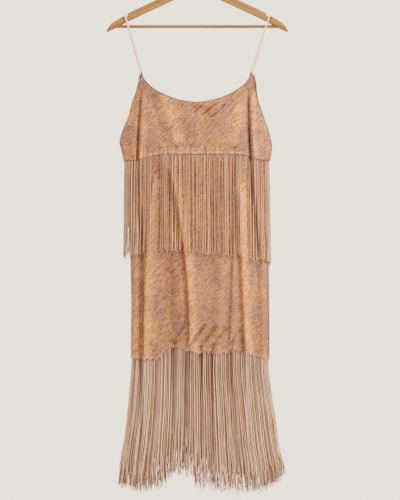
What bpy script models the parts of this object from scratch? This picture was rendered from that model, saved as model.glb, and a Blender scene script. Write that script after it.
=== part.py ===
"""Fringed slip dress hanging by its two thin straps from a wooden hanger.

Units are metres and +Z is up. The front of the dress faces -Y, and +X is to the right of
somebody who looks at the front. The origin is the inside top of the hook, where a rail
carries the hanger.

The dress is a flattened tube. Its front and its back are cut apart and meet at the side
seams. Each has a bodice with a scooped neck, a skirt whose top lies under the bodice hem,
a fringe sewn to the skirt just under that hem, and a longer fringe sewn inside the skirt's
own hem. Every wall is laid on one shared body surface and moved out or in along it.
"""

import math
from collections import namedtuple

import bmesh
import bpy
from mathutils import Vector

# Sizes that everything shares
CLEARANCE = 0.0003
HALF_CLEARANCE = CLEARANCE / 2
CLOTH = 0.0012
FRINGE_TAPE = 0.0014
TAPE_GAP = 0.0008
FRONT = -1
BACK = 1

# Layers at the bodice hem, counted outwards from the skirt's outer face
SKIRT_IN = -CLOTH
TAPE_IN = TAPE_GAP
TAPE_OUT = TAPE_IN + FRINGE_TAPE
BODICE_IN = TAPE_OUT + CLEARANCE
BODICE_OUT = BODICE_IN + CLOTH
HEM_TAPE_OUT = SKIRT_IN - TAPE_GAP
HEM_TAPE_IN = HEM_TAPE_OUT - FRINGE_TAPE

# Heights down the dress
APEX_Z = -0.3086
UNDERARM_Z = -0.4700
SCOOP_Z = -0.3822
ARMHOLE_FLAT_Z = -0.4000

# Half the distance between the front and back strap points, on the body surface
APEX_HALF_DEPTH = 0.0074
# How much further out than the front's the back's strap points lie, at the left and right
BACK_APEX_LEFT = -0.0045
BACK_APEX_RIGHT = 0.0060

# The columns of every wall: their number, and how much closer they stand at the sides
COLUMNS = 40
SIDE_CROWDING = 0.28

Ring = namedtuple("Ring", "z left right depth")

# The body surface: the skirt's outer face, carried on up under the bodice
BODY_RINGS = (
    Ring(-0.3086, -0.1345, 0.1300, 0.0094),
    Ring(-0.3300, -0.1392, 0.1370, 0.0105),
    Ring(-0.3550, -0.1465, 0.1411, 0.0120),
    Ring(-0.3850, -0.1575, 0.1490, 0.0140),
    Ring(-0.4150, -0.1650, 0.1592, 0.0170),
    Ring(-0.4450, -0.1760, 0.1680, 0.0195),
    Ring(-0.4760, -0.1855, 0.1766, 0.0220),
    Ring(-0.4900, -0.1822, 0.1780, 0.0230),
    Ring(-0.5100, -0.1775, 0.1755, 0.0245),
    Ring(-0.5327, -0.1735, 0.1715, 0.0260),
    Ring(-0.6500, -0.1680, 0.1700, 0.0300),
    Ring(-0.7550, -0.1625, 0.1730, 0.0325),
    Ring(-0.8500, -0.1603, 0.1745, 0.0345),
    Ring(-0.9200, -0.1606, 0.1750, 0.0360),
    Ring(-1.0200, -0.1615, 0.1755, 0.0375),
)

# Where the upper fringe hangs, clear of the skirt
UPPER_FRINGE_RINGS = (
    Ring(-0.5327, -0.1762, 0.1738, 0.0290),
    Ring(-0.6500, -0.1764, 0.1755, 0.0345),
    Ring(-0.7900, -0.1785, 0.1780, 0.0375),
)

# Where the lower fringe hangs: it spreads below the hem
LOWER_FRINGE_RINGS = (
    Ring(-0.9700, -0.1578, 0.1718, 0.0345),
    Ring(-1.0200, -0.1596, 0.1728, 0.0345),
    Ring(-1.0530, -0.1626, 0.1762, 0.0345),
    Ring(-1.1014, -0.1665, 0.1834, 0.0355),
    Ring(-1.1498, -0.1713, 0.1897, 0.0370),
    Ring(-1.1982, -0.1781, 0.1965, 0.0385),
    Ring(-1.2466, -0.1859, 0.2062, 0.0410),
    Ring(-1.3200, -0.1900, 0.2150, 0.0440),
)

Edge = namedtuple("Edge", "x z")

# The bodice hem, which is also the seam that the upper fringe hangs from
BODICE_HEM = (
    Edge(-0.1800, -0.5250),
    Edge(-0.1400, -0.5200),
    Edge(-0.0900, -0.5090),
    Edge(0.0000, -0.5080),
    Edge(0.1100, -0.5090),
    Edge(0.1400, -0.5190),
    Edge(0.1760, -0.5240),
)

# The skirt hem, which hangs unevenly
SKIRT_HEM = (
    Edge(-0.1650, -0.9900),
    Edge(-0.1240, -1.0030),
    Edge(-0.0940, -1.0010),
    Edge(-0.0810, -0.9870),
    Edge(-0.0640, -0.9735),
    Edge(-0.0295, -0.9744),
    Edge(0.0068, -0.9860),
    Edge(0.0310, -0.9804),
    Edge(0.0455, -0.9877),
    Edge(0.0794, -0.9804),
    Edge(0.1157, -0.9828),
    Edge(0.1520, -1.0017),
    Edge(0.1745, -1.0138),
)

# The lower ends of the two fringes
UPPER_FRINGE_ENDS = (
    Edge(-0.1780, -0.7577),
    Edge(-0.1280, -0.7529),
    Edge(-0.0707, -0.7480),
    Edge(0.0068, -0.7529),
    Edge(0.1060, -0.7626),
    Edge(0.1450, -0.7723),
    Edge(0.1730, -0.7771),
)
LOWER_FRINGE_ENDS = (
    Edge(-0.1883, -1.3047),
    Edge(-0.1287, -1.3168),
    Edge(-0.0780, -1.2998),
    Edge(-0.0600, -1.2817),
    Edge(-0.0150, -1.2830),
    Edge(0.0010, -1.3071),
    Edge(0.1447, -1.3192),
    Edge(0.1980, -1.2950),
    Edge(0.2130, -1.2756),
)

Fold = namedtuple("Fold", "name top_x top_z mid_x mid_z low_x low_z half_width skew depth")

# A fold runs down through three points. Positive depth is a valley, negative a ridge. Its half
# width is that of its left side, and skew times that is its right side's.
FRONT_FOLDS = (
    Fold("left strap valley", -0.1355, -0.3367, -0.1433, -0.4625, -0.1515, -0.7045, 0.0100, 1.00, 0.0090),
    Fold("left strap ridge", -0.1215, -0.3460, -0.1263, -0.4620, -0.1312, -0.6290, 0.0100, 1.20, -0.0030),
    Fold("left skirt valley", -0.1089, -0.5327, -0.1193, -0.6900, -0.1375, -0.9950, 0.0090, 0.80, 0.0070),
    Fold("left skirt ridge", -0.0997, -0.5642, -0.1106, -0.7384, -0.1227, -0.9950, 0.0070, 2.20, -0.0042),
    Fold("broad valley", -0.0924, -0.5158, -0.0888, -0.7142, -0.0707, -0.9950, 0.0100, 3.40, 0.0085),
    Fold("broad valley ridge", -0.0634, -0.5206, -0.0404, -0.7384, -0.0162, -0.9950, 0.0080, 2.00, -0.0048),
    Fold("bodice slant ridge", -0.0900, -0.3609, -0.0743, -0.4190, -0.0489, -0.4916, 0.0080, 1.80, -0.0034),
    Fold("bodice middle dip", 0.0044, -0.3851, 0.0165, -0.4383, 0.0310, -0.5012, 0.0200, 1.00, 0.0022),
    Fold("middle skirt dip", 0.0358, -0.5327, 0.0334, -0.7384, 0.0310, -0.9950, 0.0160, 1.00, 0.0035),
    Fold("right centre valley", 0.0862, -0.5012, 0.0837, -0.6779, 0.0716, -0.9950, 0.0110, 0.60, 0.0055),
    Fold("right skirt ridge", 0.1060, -0.5690, 0.1181, -0.7674, 0.1314, -0.9950, 0.0100, 1.00, -0.0058),
    Fold("right low valley", 0.1278, -0.7021, 0.1399, -0.8352, 0.1471, -0.9950, 0.0080, 2.20, 0.0045),
    Fold("right strap valley", 0.1229, -0.3318, 0.1263, -0.4722, 0.1544, -0.7916, 0.0100, 1.00, 0.0085),
    Fold("right strap ridge", 0.1390, -0.3800, 0.1480, -0.4600, 0.1560, -0.5600, 0.0090, 1.00, -0.0030),
)
BACK_FOLDS = (
    Fold("left strap valley", -0.1290, -0.3452, -0.1389, -0.4988, -0.1481, -0.7602, 0.0105, 1.00, 0.0085),
    Fold("left skirt valley", -0.0820, -0.5061, -0.0859, -0.7287, -0.0760, -0.9950, 0.0090, 2.00, 0.0075),
    Fold("left skirt ridge", -0.0610, -0.5448, -0.0489, -0.7384, -0.0392, -0.9950, 0.0080, 1.80, -0.0042),
    Fold("left hem ridge", -0.1120, -0.5400, -0.1079, -0.7505, -0.1200, -0.9950, 0.0100, 1.30, -0.0042),
    Fold("bodice slant ridge", -0.0501, -0.3899, -0.0329, -0.4407, -0.0150, -0.5049, 0.0090, 2.00, -0.0034),
    Fold("bodice right dip", 0.0600, -0.3948, 0.0455, -0.4432, 0.0358, -0.4964, 0.0130, 1.00, 0.0020),
    Fold("middle valley", -0.0160, -0.5206, -0.0060, -0.7408, 0.0150, -0.9950, 0.0100, 2.00, 0.0080),
    Fold("middle ridge", 0.0140, -0.5690, 0.0329, -0.7795, 0.0479, -0.9950, 0.0075, 2.00, -0.0044),
    Fold("right skirt valley", 0.0699, -0.5000, 0.0789, -0.7287, 0.0939, -0.9950, 0.0100, 0.70, 0.0078),
    Fold("right skirt ridge", 0.0927, -0.5569, 0.1060, -0.7795, 0.1261, -0.9950, 0.0070, 2.20, -0.0050),
    Fold("right strap valley", 0.1251, -0.3452, 0.1331, -0.4988, 0.1481, -0.7795, 0.0105, 1.00, 0.0085),
)
FOLD_FADE = 0.12
# Folds that reach the hem carry on into the lower fringe and weaken there
FOLD_HEM_Z = -0.95
FRINGE_FOLD_SHARE = 0.35
FRINGE_FOLD_FALL = 0.30
SEAM_FADE = 0.10
# A fold never goes deeper than this share of the depth, and it fades as this power of the crown
FOLD_LIMIT = 0.6
FOLD_CROWN = 0.5
# How the tube's section curves across: its power, and how full it is at the seams and apexes
SECTION_POWER = 3
SEAM_FULLNESS = 0.5
APEX_FULLNESS = 1.0
# The step, in shares of the width and in metres of height, that finds the surface's direction
NORMAL_STEP = 0.004
# How many passes find where a column meets an edge, and how many halvings find the neck
EDGE_PASSES = 8
NECK_HALVINGS = 40

# The scooped neck: centre, half width and depth, and how square its curve is
Scoop = namedtuple("Scoop", "centre half_width bottom roundness")
NECK = {
    FRONT: Scoop(-0.0022, 0.1323, SCOOP_Z, 1.7),
    BACK: Scoop(-0.0016, 0.1376, SCOOP_Z - 0.0020, 1.7),
}

# The rows of the bodice and the skirt, as shares of the way from top to hem
BODICE_ROWS = (0.0, 0.14, 0.32, 0.52, 0.72, 0.90)
BODICE_HEM_LAP = 0.010
SKIRT_ROWS = (0.07, 0.18, 0.30, 0.42, 0.54, 0.66, 0.78, 0.88)
SKIRT_TUCK = BODICE_HEM_LAP
SKIRT_HEM_LAP = 0.013
SEAM_PEEP = 0.001
HEM_TAPE_DROP = 0.004
HEM_SCALLOP = 0.0016

# Fringes
UPPER_STRANDS_PER_COLUMN = 1.0
LOWER_STRANDS_PER_COLUMN = 1.5
UPPER_STRAND_CUTS = (0.07, 0.50, 1.0)
LOWER_STRAND_CUTS = (0.30, 1.0)
STRAND_TIP = 0.65
STRAND_SWAY = 0.22
STRAND_SWAY_RATE = 4.7
STRAND_LENGTH_CHANGE = 0.005
STRAND_LENGTH_RATE = 2.3
STRAND_HALF_THICKNESS = 0.0008

# The wooden hanger, as a half outline from the middle out: across, and height
HANGER_THICKNESS = 0.012
HANGER_EDGE = 0.0020
HANGER_HALF_OUTLINE = (
    Edge(0.0080, -0.0890),
    Edge(0.0300, -0.1012),
    Edge(0.1672, -0.1653),
    Edge(0.1690, -0.1735),
    Edge(0.1768, -0.1742),
    Edge(0.1774, -0.1718),
    Edge(0.1941, -0.1818),
    Edge(0.2050, -0.1882),
    Edge(0.2134, -0.1965),
    Edge(0.2200, -0.2092),
    Edge(0.2190, -0.2106),
    Edge(0.2008, -0.2026),
    Edge(0.1871, -0.1956),
    Edge(0.1653, -0.1838),
    Edge(0.0300, -0.1206),
    Edge(0.0120, -0.1145),
)
NOTCH_X = 0.1729
NOTCH_WIDTH = 0.0088
NOTCH_Z = -0.1840
NOTCH_FACE_DEPTH = 0.0015
NOTCH_LEAN = math.radians(16)
# The box that cuts a strap groove: how far it reaches off the wood's face, and its length
NOTCH_CUT_REACH = 0.010
NOTCH_CUT_LENGTH = 0.040

# The trouser bar, let into the underside of both arms
BAR_RADIUS = 0.0038
BAR_Z = -0.1973
BAR_HALF = 0.2020
BAR_SIDES = 16

# The hook: a bent wire screwed into the middle of the wood
WIRE_RADIUS = 0.00175
HOOK_RADIUS = 0.0200
HOOK_CENTRE_Z = WIRE_RADIUS - HOOK_RADIUS
HOOK_START = math.radians(-42)
HOOK_END = math.radians(205)
HOOK_STEPS = 22
HOOK_FOOT_Z = -0.1040
HOOK_BORE_Z = HOOK_FOOT_Z - CLEARANCE
HOOK_BORE_TOP_Z = -0.050
HOOK_BORE_SIDES = 12
HOOK_STEM = (
    (0.0000, HOOK_FOOT_Z),
    (0.0000, -0.0800),
    (0.0000, -0.0620),
    (0.0024, -0.0520),
    (0.0082, -0.0400),
)

# The straps: round cord, through these points from the front strap point to the notch
STRAP_RADIUS = 0.0016
STRAP_TUCK = 0.0070
STRAP_HALF_DEPTH = APEX_HALF_DEPTH + BODICE_IN - CLEARANCE - STRAP_RADIUS
STRAP_NOTCH_HALF_DEPTH = HANGER_THICKNESS / 2 - NOTCH_FACE_DEPTH + CLEARANCE + STRAP_RADIUS
STRAP_TOP_Z = -0.1738 + CLEARANCE + STRAP_RADIUS
STRAP_CORNER = 0.0022
# Between the strap point and the bend a strap first nears the notch's depth slowly
STRAP_MIDDLE_NEARING = 0.4
STRAP_BEND_NEARING = 0.9
STRAP_GROOVE_DROP = 0.0100

StrapSide = namedtuple("StrapSide", "side front_x back_x bend_x bend_z top_x")
STRAPS = (
    StrapSide("left", -0.1336, -0.1378, -0.1652, -0.2036, -0.1737),
    StrapSide("right", 0.1292, 0.1352, 0.1640, -0.2036, 0.1737),
)
STRAP_NOTCH_X = 0.1718


def make_material(name, colour, roughness, metallic=0.0):
    """A plain surface in the part's own colour."""
    material = bpy.data.materials.new(name)
    material.use_nodes = True
    shader = material.node_tree.nodes["Principled BSDF"]
    shader.inputs["Base Color"].default_value = (*colour, 1.0)
    shader.inputs["Roughness"].default_value = roughness
    shader.inputs["Metallic"].default_value = metallic
    return material


def add_object(name, mesh, material):
    """Put a finished mesh in the scene under its own name."""
    mesh.materials.append(material)
    piece = bpy.data.objects.new(name, mesh)
    bpy.context.scene.collection.objects.link(piece)
    return piece


def mesh_from(bm, name):
    """Turn a bmesh into a mesh with its faces pointing out."""
    bmesh.ops.recalc_face_normals(bm, faces=bm.faces[:])
    mesh = bpy.data.meshes.new(name)
    bm.to_mesh(mesh)
    bm.free()
    return mesh


def mix(first, second, share):
    """Blend two numbers or vectors."""
    return first + (second - first) * share


def ease(value):
    """Rise smoothly from 0 to 1."""
    value = min(max(value, 0.0), 1.0)
    return value * value * (3.0 - 2.0 * value)


def along(rows, key, place, field):
    """Read one column of a table as a smooth curve of another column."""
    places = [getattr(row, key) for row in rows]
    values = [getattr(row, field) for row in rows]
    if places[0] > places[-1]:
        places.reverse()
        values.reverse()
    place = min(max(place, places[0]), places[-1])
    last = len(places) - 1
    index = next(i for i in range(last) if place <= places[i + 1])
    step = places[index + 1] - places[index]
    share = (place - places[index]) / step

    def slope(point):
        before = max(point - 1, 0)
        after = min(point + 1, last)
        return (values[after] - values[before]) / (places[after] - places[before])

    rise = mix(values[index], values[index + 1], ease(share))
    start_bend = slope(index) * step * share * (1.0 - share) ** 2
    end_bend = slope(index + 1) * step * share ** 2 * (share - 1.0)
    return rise + start_bend + end_bend


def fold_depth(side, x, z):
    """How far in the folds push the cloth at one place."""
    total = 0.0
    for fold in FRONT_FOLDS if side == FRONT else BACK_FOLDS:
        reaches_hem = fold.low_z < FOLD_HEM_Z
        if z > fold.top_z or (z < fold.low_z and not reaches_hem):
            continue
        mid_share = (fold.top_z - fold.mid_z) / (fold.top_z - fold.low_z)
        share = min((fold.top_z - z) / (fold.top_z - fold.low_z), 1.0)
        straight_mid = mix(fold.top_x, fold.low_x, mid_share)
        bow = (fold.mid_x - straight_mid) / (mid_share * (1.0 - mid_share))
        path_x = mix(fold.top_x, fold.low_x, share) + bow * share * (1.0 - share)
        strength = ease(share / FOLD_FADE)
        if reaches_hem:
            strength *= mix(1.0, FRINGE_FOLD_SHARE, ease((fold.low_z - z) / FRINGE_FOLD_FALL))
        else:
            strength *= ease((1.0 - share) / FOLD_FADE)
        width = fold.half_width if x < path_x else fold.half_width * fold.skew
        across = (x - path_x) / width
        total += fold.depth * strength * math.exp(-across * across)
    return total


def body_point(rings, side, share, z):
    """A point of a flattened tube: share runs from the left edge to the right edge."""
    left = along(rings, "z", z, "left")
    right = along(rings, "z", z, "right")
    depth = along(rings, "z", z, "depth")
    if side == BACK:
        shift = ease((z - ARMHOLE_FLAT_Z) / (APEX_Z - ARMHOLE_FLAT_Z))
        left += BACK_APEX_LEFT * shift
        right += BACK_APEX_RIGHT * shift
    x = mix(left, right, share)
    across = abs(2.0 * share - 1.0)
    open_share = ease((z - UNDERARM_Z) / (APEX_Z - UNDERARM_Z))
    edge = mix(HALF_CLEARANCE, APEX_HALF_DEPTH, open_share)
    rise = ease((z - UNDERARM_Z) / (ARMHOLE_FLAT_Z - UNDERARM_Z))
    crown = max(1.0 - across ** SECTION_POWER, 0.0) ** mix(SEAM_FULLNESS, APEX_FULLNESS, rise)
    fade = ease((1.0 - across) / SEAM_FADE)
    inward = min(fold_depth(side, x, z) * fade, depth * FOLD_LIMIT)
    y = edge + (depth - edge) * crown - inward * crown ** FOLD_CROWN
    return Vector((x, side * y, z))


def body_normal(rings, side, share, z):
    """The outward direction of the tube, square to the side seams at its edges."""
    at_edge = share in (0.0, 1.0)
    if at_edge and z < UNDERARM_Z:
        return Vector((2.0 * share - 1.0, 0.0, 0.0))
    low = max(share - NORMAL_STEP, 0.0)
    high = min(share + NORMAL_STEP, 1.0)
    across = body_point(rings, side, high, z) - body_point(rings, side, low, z)
    down = body_point(rings, side, share, z - NORMAL_STEP) - body_point(rings, side, share, z + NORMAL_STEP)
    normal = across.cross(down).normalized()
    return normal if normal.y * side > 0.0 else -normal


def layer_point(rings, side, share, z, lift):
    """A body point moved out along the surface by lift, never across the side seam."""
    point = body_point(rings, side, share, z) + body_normal(rings, side, share, z) * lift
    point.y = side * max(side * point.y, HALF_CLEARANCE)
    return point


def column_share(column):
    """Where a column lies across the dress, with the columns closer at the sides."""
    even = column / COLUMNS
    share = even - SIDE_CROWDING * math.sin(2.0 * math.pi * even) / (2.0 * math.pi)
    return 1.0 if column == COLUMNS else share


def edge_height(edge, side, share):
    """The height where a column crosses an edge that is drawn across the dress."""
    z = edge[len(edge) // 2].z
    for _ in range(EDGE_PASSES):
        z = along(edge, "x", body_point(BODY_RINGS, side, share, z).x, "z")
    return z


def neck_height(side, share):
    """The height where a column meets the scooped neck, found by halving."""
    scoop = NECK[side]
    low = scoop.bottom
    high = APEX_Z
    for _ in range(NECK_HALVINGS):
        middle = (low + high) / 2.0
        x = body_point(BODY_RINGS, side, share, middle).x
        off = min(abs(x - scoop.centre) / scoop.half_width, 1.0)
        rise = 1.0 - (1.0 - off ** scoop.roundness) ** (1.0 / scoop.roundness)
        if scoop.bottom + (APEX_Z - scoop.bottom) * rise > middle:
            low = middle
        else:
            high = middle
    return high


def bodice_heights(side, column):
    """The heights of one bodice column, from the neck or armhole down to the hem."""
    share = column_share(column)
    top = APEX_Z if column in (0, COLUMNS) else neck_height(side, share)
    hem = edge_height(BODICE_HEM, side, share)
    lap = hem + BODICE_HEM_LAP
    return [mix(top, lap, row) for row in BODICE_ROWS] + [lap, hem]


def skirt_heights(side, column):
    """The heights of one skirt column, from under the bodice down to the hem."""
    share = column_share(column)
    seam = edge_height(BODICE_HEM, side, share)
    hem = edge_height(SKIRT_HEM, side, share)
    lap = hem + SKIRT_HEM_LAP
    scallop = HEM_SCALLOP if column % 2 else -HEM_SCALLOP
    start = seam - SEAM_PEEP
    rows = [mix(start, lap, row) for row in SKIRT_ROWS]
    return [seam + SKIRT_TUCK, start] + rows + [lap, hem + scallop]


def cloth_wall(name, side, heights, lift_in, lift_out, material):
    """One cut of cloth: a sheet of points on its outer face, thickened inwards."""
    columns = [heights(side, column) for column in range(COLUMNS + 1)]
    row_count = len(columns[0])
    bm = bmesh.new()
    bmesh.ops.create_grid(bm, x_segments=COLUMNS, y_segments=row_count - 1, size=1.0)
    bm.verts.ensure_lookup_table()
    for index, vert in enumerate(bm.verts):
        vert.co = Vector((index % (COLUMNS + 1), index // (COLUMNS + 1), 0.0))
    made = bmesh.ops.extrude_face_region(bm, geom=bm.faces[:])["geom"]
    inner = {item for item in made if isinstance(item, bmesh.types.BMVert)}
    for vert in bm.verts:
        column = round(vert.co.x)
        z = columns[column][round(vert.co.y)]
        lift = lift_in if vert in inner else lift_out
        vert.co = layer_point(BODY_RINGS, side, column_share(column), z, lift)
    return add_object(name, mesh_from(bm, name), material)


def facet_point(rings, side, place, heights, lift):
    """A point between two columns, on the straight facet that joins them."""
    column = min(int(place), COLUMNS - 1)
    ends = [
        layer_point(rings, side, column_share(near), heights(side, near), lift)
        for near in (column, column + 1)
    ]
    return mix(ends[0], ends[1], place - column)


def strand_corner(rings, side, root, corner, cut, end_z):
    """A corner of a strand at one cut along its length."""
    spread, lift_share = corner
    middle, half_width, root_z = root
    z = mix(root_z, end_z, cut)
    half = half_width * mix(1.0, STRAND_TIP, cut)
    sway = STRAND_SWAY * half_width * math.sin(middle * STRAND_SWAY_RATE) * cut
    lift = STRAND_HALF_THICKNESS * mix(1.0, STRAND_TIP, cut) * lift_share
    return facet_point(rings, side, middle + sway + spread * half, lambda *_: z, lift)


def fringe(name, side, rings, tape, strands_per_column, cuts, ends, material):
    """A narrow tape with a row of flat strands drawn down from its lower edge."""
    top, bottom, lift_in, lift_out = tape
    slots = round(COLUMNS * strands_per_column) * 2
    places = [slot * COLUMNS / slots for slot in range(slots + 1)]
    bm = bmesh.new()
    bmesh.ops.create_grid(bm, x_segments=slots, y_segments=1, size=1.0)
    bm.verts.ensure_lookup_table()
    for index, vert in enumerate(bm.verts):
        vert.co = Vector((index % (slots + 1), index // (slots + 1), 0.0))
    made = bmesh.ops.extrude_face_region(bm, geom=bm.faces[:])["geom"]
    inner = {item for item in made if isinstance(item, bmesh.types.BMVert)}
    slot_of = {}
    below = []
    for vert in bm.verts:
        slot = round(vert.co.x)
        slot_of[vert] = (slot, -1 if vert in inner else 1)
        if round(vert.co.y) == 1:
            below.append(vert)
    lower = set(below)
    roots = [face for face in bm.faces if lower.issuperset(face.verts)]
    for vert in bm.verts:
        slot, layer = slot_of[vert]
        heights = bottom if vert in lower else top
        lift = lift_in if layer < 0 else lift_out
        vert.co = facet_point(BODY_RINGS, side, places[slot], heights, lift)
    for root in roots:
        first = min(slot_of[vert][0] for vert in root.verts)
        if first % 2 and first < slots - 1:
            draw_strand(bm, root, slot_of, first, places, side, rings, cuts, ends)
    return add_object(name, mesh_from(bm, name), material)


def draw_strand(bm, root, slot_of, first, places, side, rings, cuts, ends):
    """Draw one strand out of a face of the tape, cut by cut."""
    middle = (places[first] + places[first + 1]) / 2.0
    half_width = (places[first + 1] - places[first]) / 2.0
    root_z = min(vert.co.z for vert in root.verts)
    root_facts = (middle, half_width, root_z)
    length_change = STRAND_LENGTH_CHANGE * math.sin(first * STRAND_LENGTH_RATE + side)
    end_x = facet_point(rings, side, middle, lambda *_: ends[0].z, 0.0).x
    end_z = along(ends, "x", end_x, "z") + length_change
    corners = [
        (-1 if slot_of[vert][0] == first else 1, slot_of[vert][1])
        for vert in root.verts
    ]
    face = root
    for cut in cuts:
        before = [vert.co.copy() for vert in face.verts]
        face = bmesh.ops.extrude_discrete_faces(bm, faces=[face])["faces"][0]
        order = [
            min(range(4), key=lambda spot: (before[spot] - vert.co).length)
            for vert in face.verts
        ]
        corners = [corners[spot] for spot in order]
        for vert, corner in zip(face.verts, corners):
            vert.co = strand_corner(rings, side, root_facts, corner, cut, end_z)


def seam_tape_top(side, column):
    """The top of the upper fringe's tape, hidden under the bodice hem."""
    return skirt_heights(side, column)[0]


def seam_tape_bottom(side, column):
    """The bottom of the upper fringe's tape, which just shows under the bodice hem."""
    return skirt_heights(side, column)[1]


def hem_tape_top(side, column):
    """The top of the lower fringe's tape, inside the skirt hem."""
    return skirt_heights(side, column)[-2]


def hem_tape_bottom(side, column):
    """The bottom of the lower fringe's tape, a little above the skirt hem."""
    lap = skirt_heights(side, column)[-2]
    return lap - SKIRT_HEM_LAP + HEM_TAPE_DROP


def box_bmesh(bm, size, centre, turn_y=0.0):
    """Add a box of one size, turned about Y and placed."""
    made = bmesh.ops.create_cube(bm, size=1.0)["verts"]
    for vert in made:
        across = vert.co.x * size[0]
        height = vert.co.z * size[2]
        vert.co = Vector((
            centre[0] + across * math.cos(turn_y) + height * math.sin(turn_y),
            centre[1] + vert.co.y * size[1],
            centre[2] - across * math.sin(turn_y) + height * math.cos(turn_y),
        ))


def lying_cylinder(bm, radius, half_length, z, sides):
    """Add a closed cylinder along X."""
    made = bmesh.ops.create_cone(
        bm, cap_ends=True, segments=sides, radius1=radius, radius2=radius, depth=2.0 * half_length,
    )["verts"]
    for vert in made:
        vert.co = Vector((vert.co.z, vert.co.x, vert.co.y + z))


def standing_cylinder(bm, radius, low, high, sides):
    """Add a closed cylinder along Z at the middle of the hanger."""
    made = bmesh.ops.create_cone(
        bm, cap_ends=True, segments=sides, radius1=radius, radius2=radius, depth=high - low,
    )["verts"]
    for vert in made:
        vert.co.z += (low + high) / 2.0


def hanger_wood(material):
    """The arms in one piece: an outline with softened edges, notched, bored and let out."""
    bm = bmesh.new()
    right = [Vector((point.x, -HANGER_THICKNESS / 2, point.z)) for point in HANGER_HALF_OUTLINE]
    left = [Vector((-point.x, point.y, point.z)) for point in reversed(right)]
    face = bm.faces.new([bm.verts.new(point) for point in right + left])
    made = bmesh.ops.extrude_face_region(bm, geom=[face])["geom"]
    back = [item for item in made if isinstance(item, bmesh.types.BMVert)]
    bmesh.ops.translate(bm, vec=(0.0, HANGER_THICKNESS, 0.0), verts=back)
    long_edges = [edge for edge in bm.edges if abs(edge.verts[0].co.y - edge.verts[1].co.y) < 1e-6]
    bmesh.ops.bevel(
        bm, geom=long_edges, offset=HANGER_EDGE, segments=2, profile=0.5,
        affect="EDGES", clamp_overlap=True, material=-1,
    )
    wood = add_object("hanger_wood", mesh_from(bm, "hanger_wood"), material)
    cutter = hanger_cuts()
    cut = wood.modifiers.new("notches and bores", "BOOLEAN")
    cut.operation = "DIFFERENCE"
    cut.solver = "EXACT"
    cut.object = cutter
    return wood


def hanger_cuts():
    """Everything that is cut from the wood: strap grooves, the hook's bore and the bar's seats."""
    bm = bmesh.new()
    for hand in (-1, 1):
        for face in (-1, 1):
            centre_y = face * ((HANGER_THICKNESS + NOTCH_CUT_REACH) / 2 - NOTCH_FACE_DEPTH)
            box_bmesh(
                bm, (NOTCH_WIDTH, NOTCH_CUT_REACH, NOTCH_CUT_LENGTH), (hand * NOTCH_X, centre_y, NOTCH_Z),
                hand * NOTCH_LEAN,
            )
    standing_cylinder(bm, WIRE_RADIUS + CLEARANCE, HOOK_BORE_Z, HOOK_BORE_TOP_Z, HOOK_BORE_SIDES)
    lying_cylinder(bm, BAR_RADIUS + CLEARANCE, BAR_HALF + CLEARANCE, BAR_Z, BAR_SIDES)
    mesh = mesh_from(bm, "hanger_cuts")
    cutter = bpy.data.objects.new("hanger_cuts", mesh)
    bpy.context.scene.collection.objects.link(cutter)
    cutter.hide_render = True
    cutter.display_type = "WIRE"
    return cutter


def hanger_bar(material):
    """The round bar between the arms."""
    bm = bmesh.new()
    lying_cylinder(bm, BAR_RADIUS, BAR_HALF, BAR_Z, BAR_SIDES)
    return add_object("hanger_bar", mesh_from(bm, "hanger_bar"), material)


def round_cord(name, points, radius, material, resolution=2):
    """A round cord or wire through a list of points, closed at both ends."""
    curve = bpy.data.curves.new(name, "CURVE")
    curve.dimensions = "3D"
    curve.bevel_depth = radius
    curve.bevel_resolution = resolution
    curve.use_fill_caps = True
    spline = curve.splines.new("POLY")
    spline.points.add(len(points) - 1)
    for spot, point in zip(spline.points, points):
        spot.co = (*point, 1.0)
    curve.materials.append(material)
    cord = bpy.data.objects.new(name, curve)
    bpy.context.scene.collection.objects.link(cord)
    return cord


def smooth_route(points, steps):
    """More points on one smooth curve through the route's own points."""
    route = [Vector(point) for point in points]
    padded = [route[0] * 2.0 - route[1]] + route + [route[-1] * 2.0 - route[-2]]
    fine = []
    for start in range(1, len(padded) - 2):
        before, here, there, after = padded[start - 1:start + 3]
        for step in range(steps):
            t = step / steps
            bend = (there - before) * t
            sag = (before * 2.0 - here * 5.0 + there * 4.0 - after) * t * t
            curl = (here * 3.0 - before - there * 3.0 + after) * t ** 3
            fine.append((here * 2.0 + bend + sag + curl) * 0.5)
    return fine + [route[-1]]


def hanger_hook(material):
    """The question-mark hook, from its foot in the wood to its free end."""
    stem = smooth_route([(x, 0.0, z) for x, z in HOOK_STEM] + [hook_arc_point(0)], 2)[:-1]
    arc = [hook_arc_point(step) for step in range(HOOK_STEPS + 1)]
    return round_cord("hanger_hook", stem + arc, WIRE_RADIUS, material)


def hook_arc_point(step):
    """A point of the hook's round part."""
    angle = mix(HOOK_START, HOOK_END, step / HOOK_STEPS)
    return Vector((HOOK_RADIUS * math.cos(angle), 0.0, HOOK_CENTRE_Z + HOOK_RADIUS * math.sin(angle)))


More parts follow.
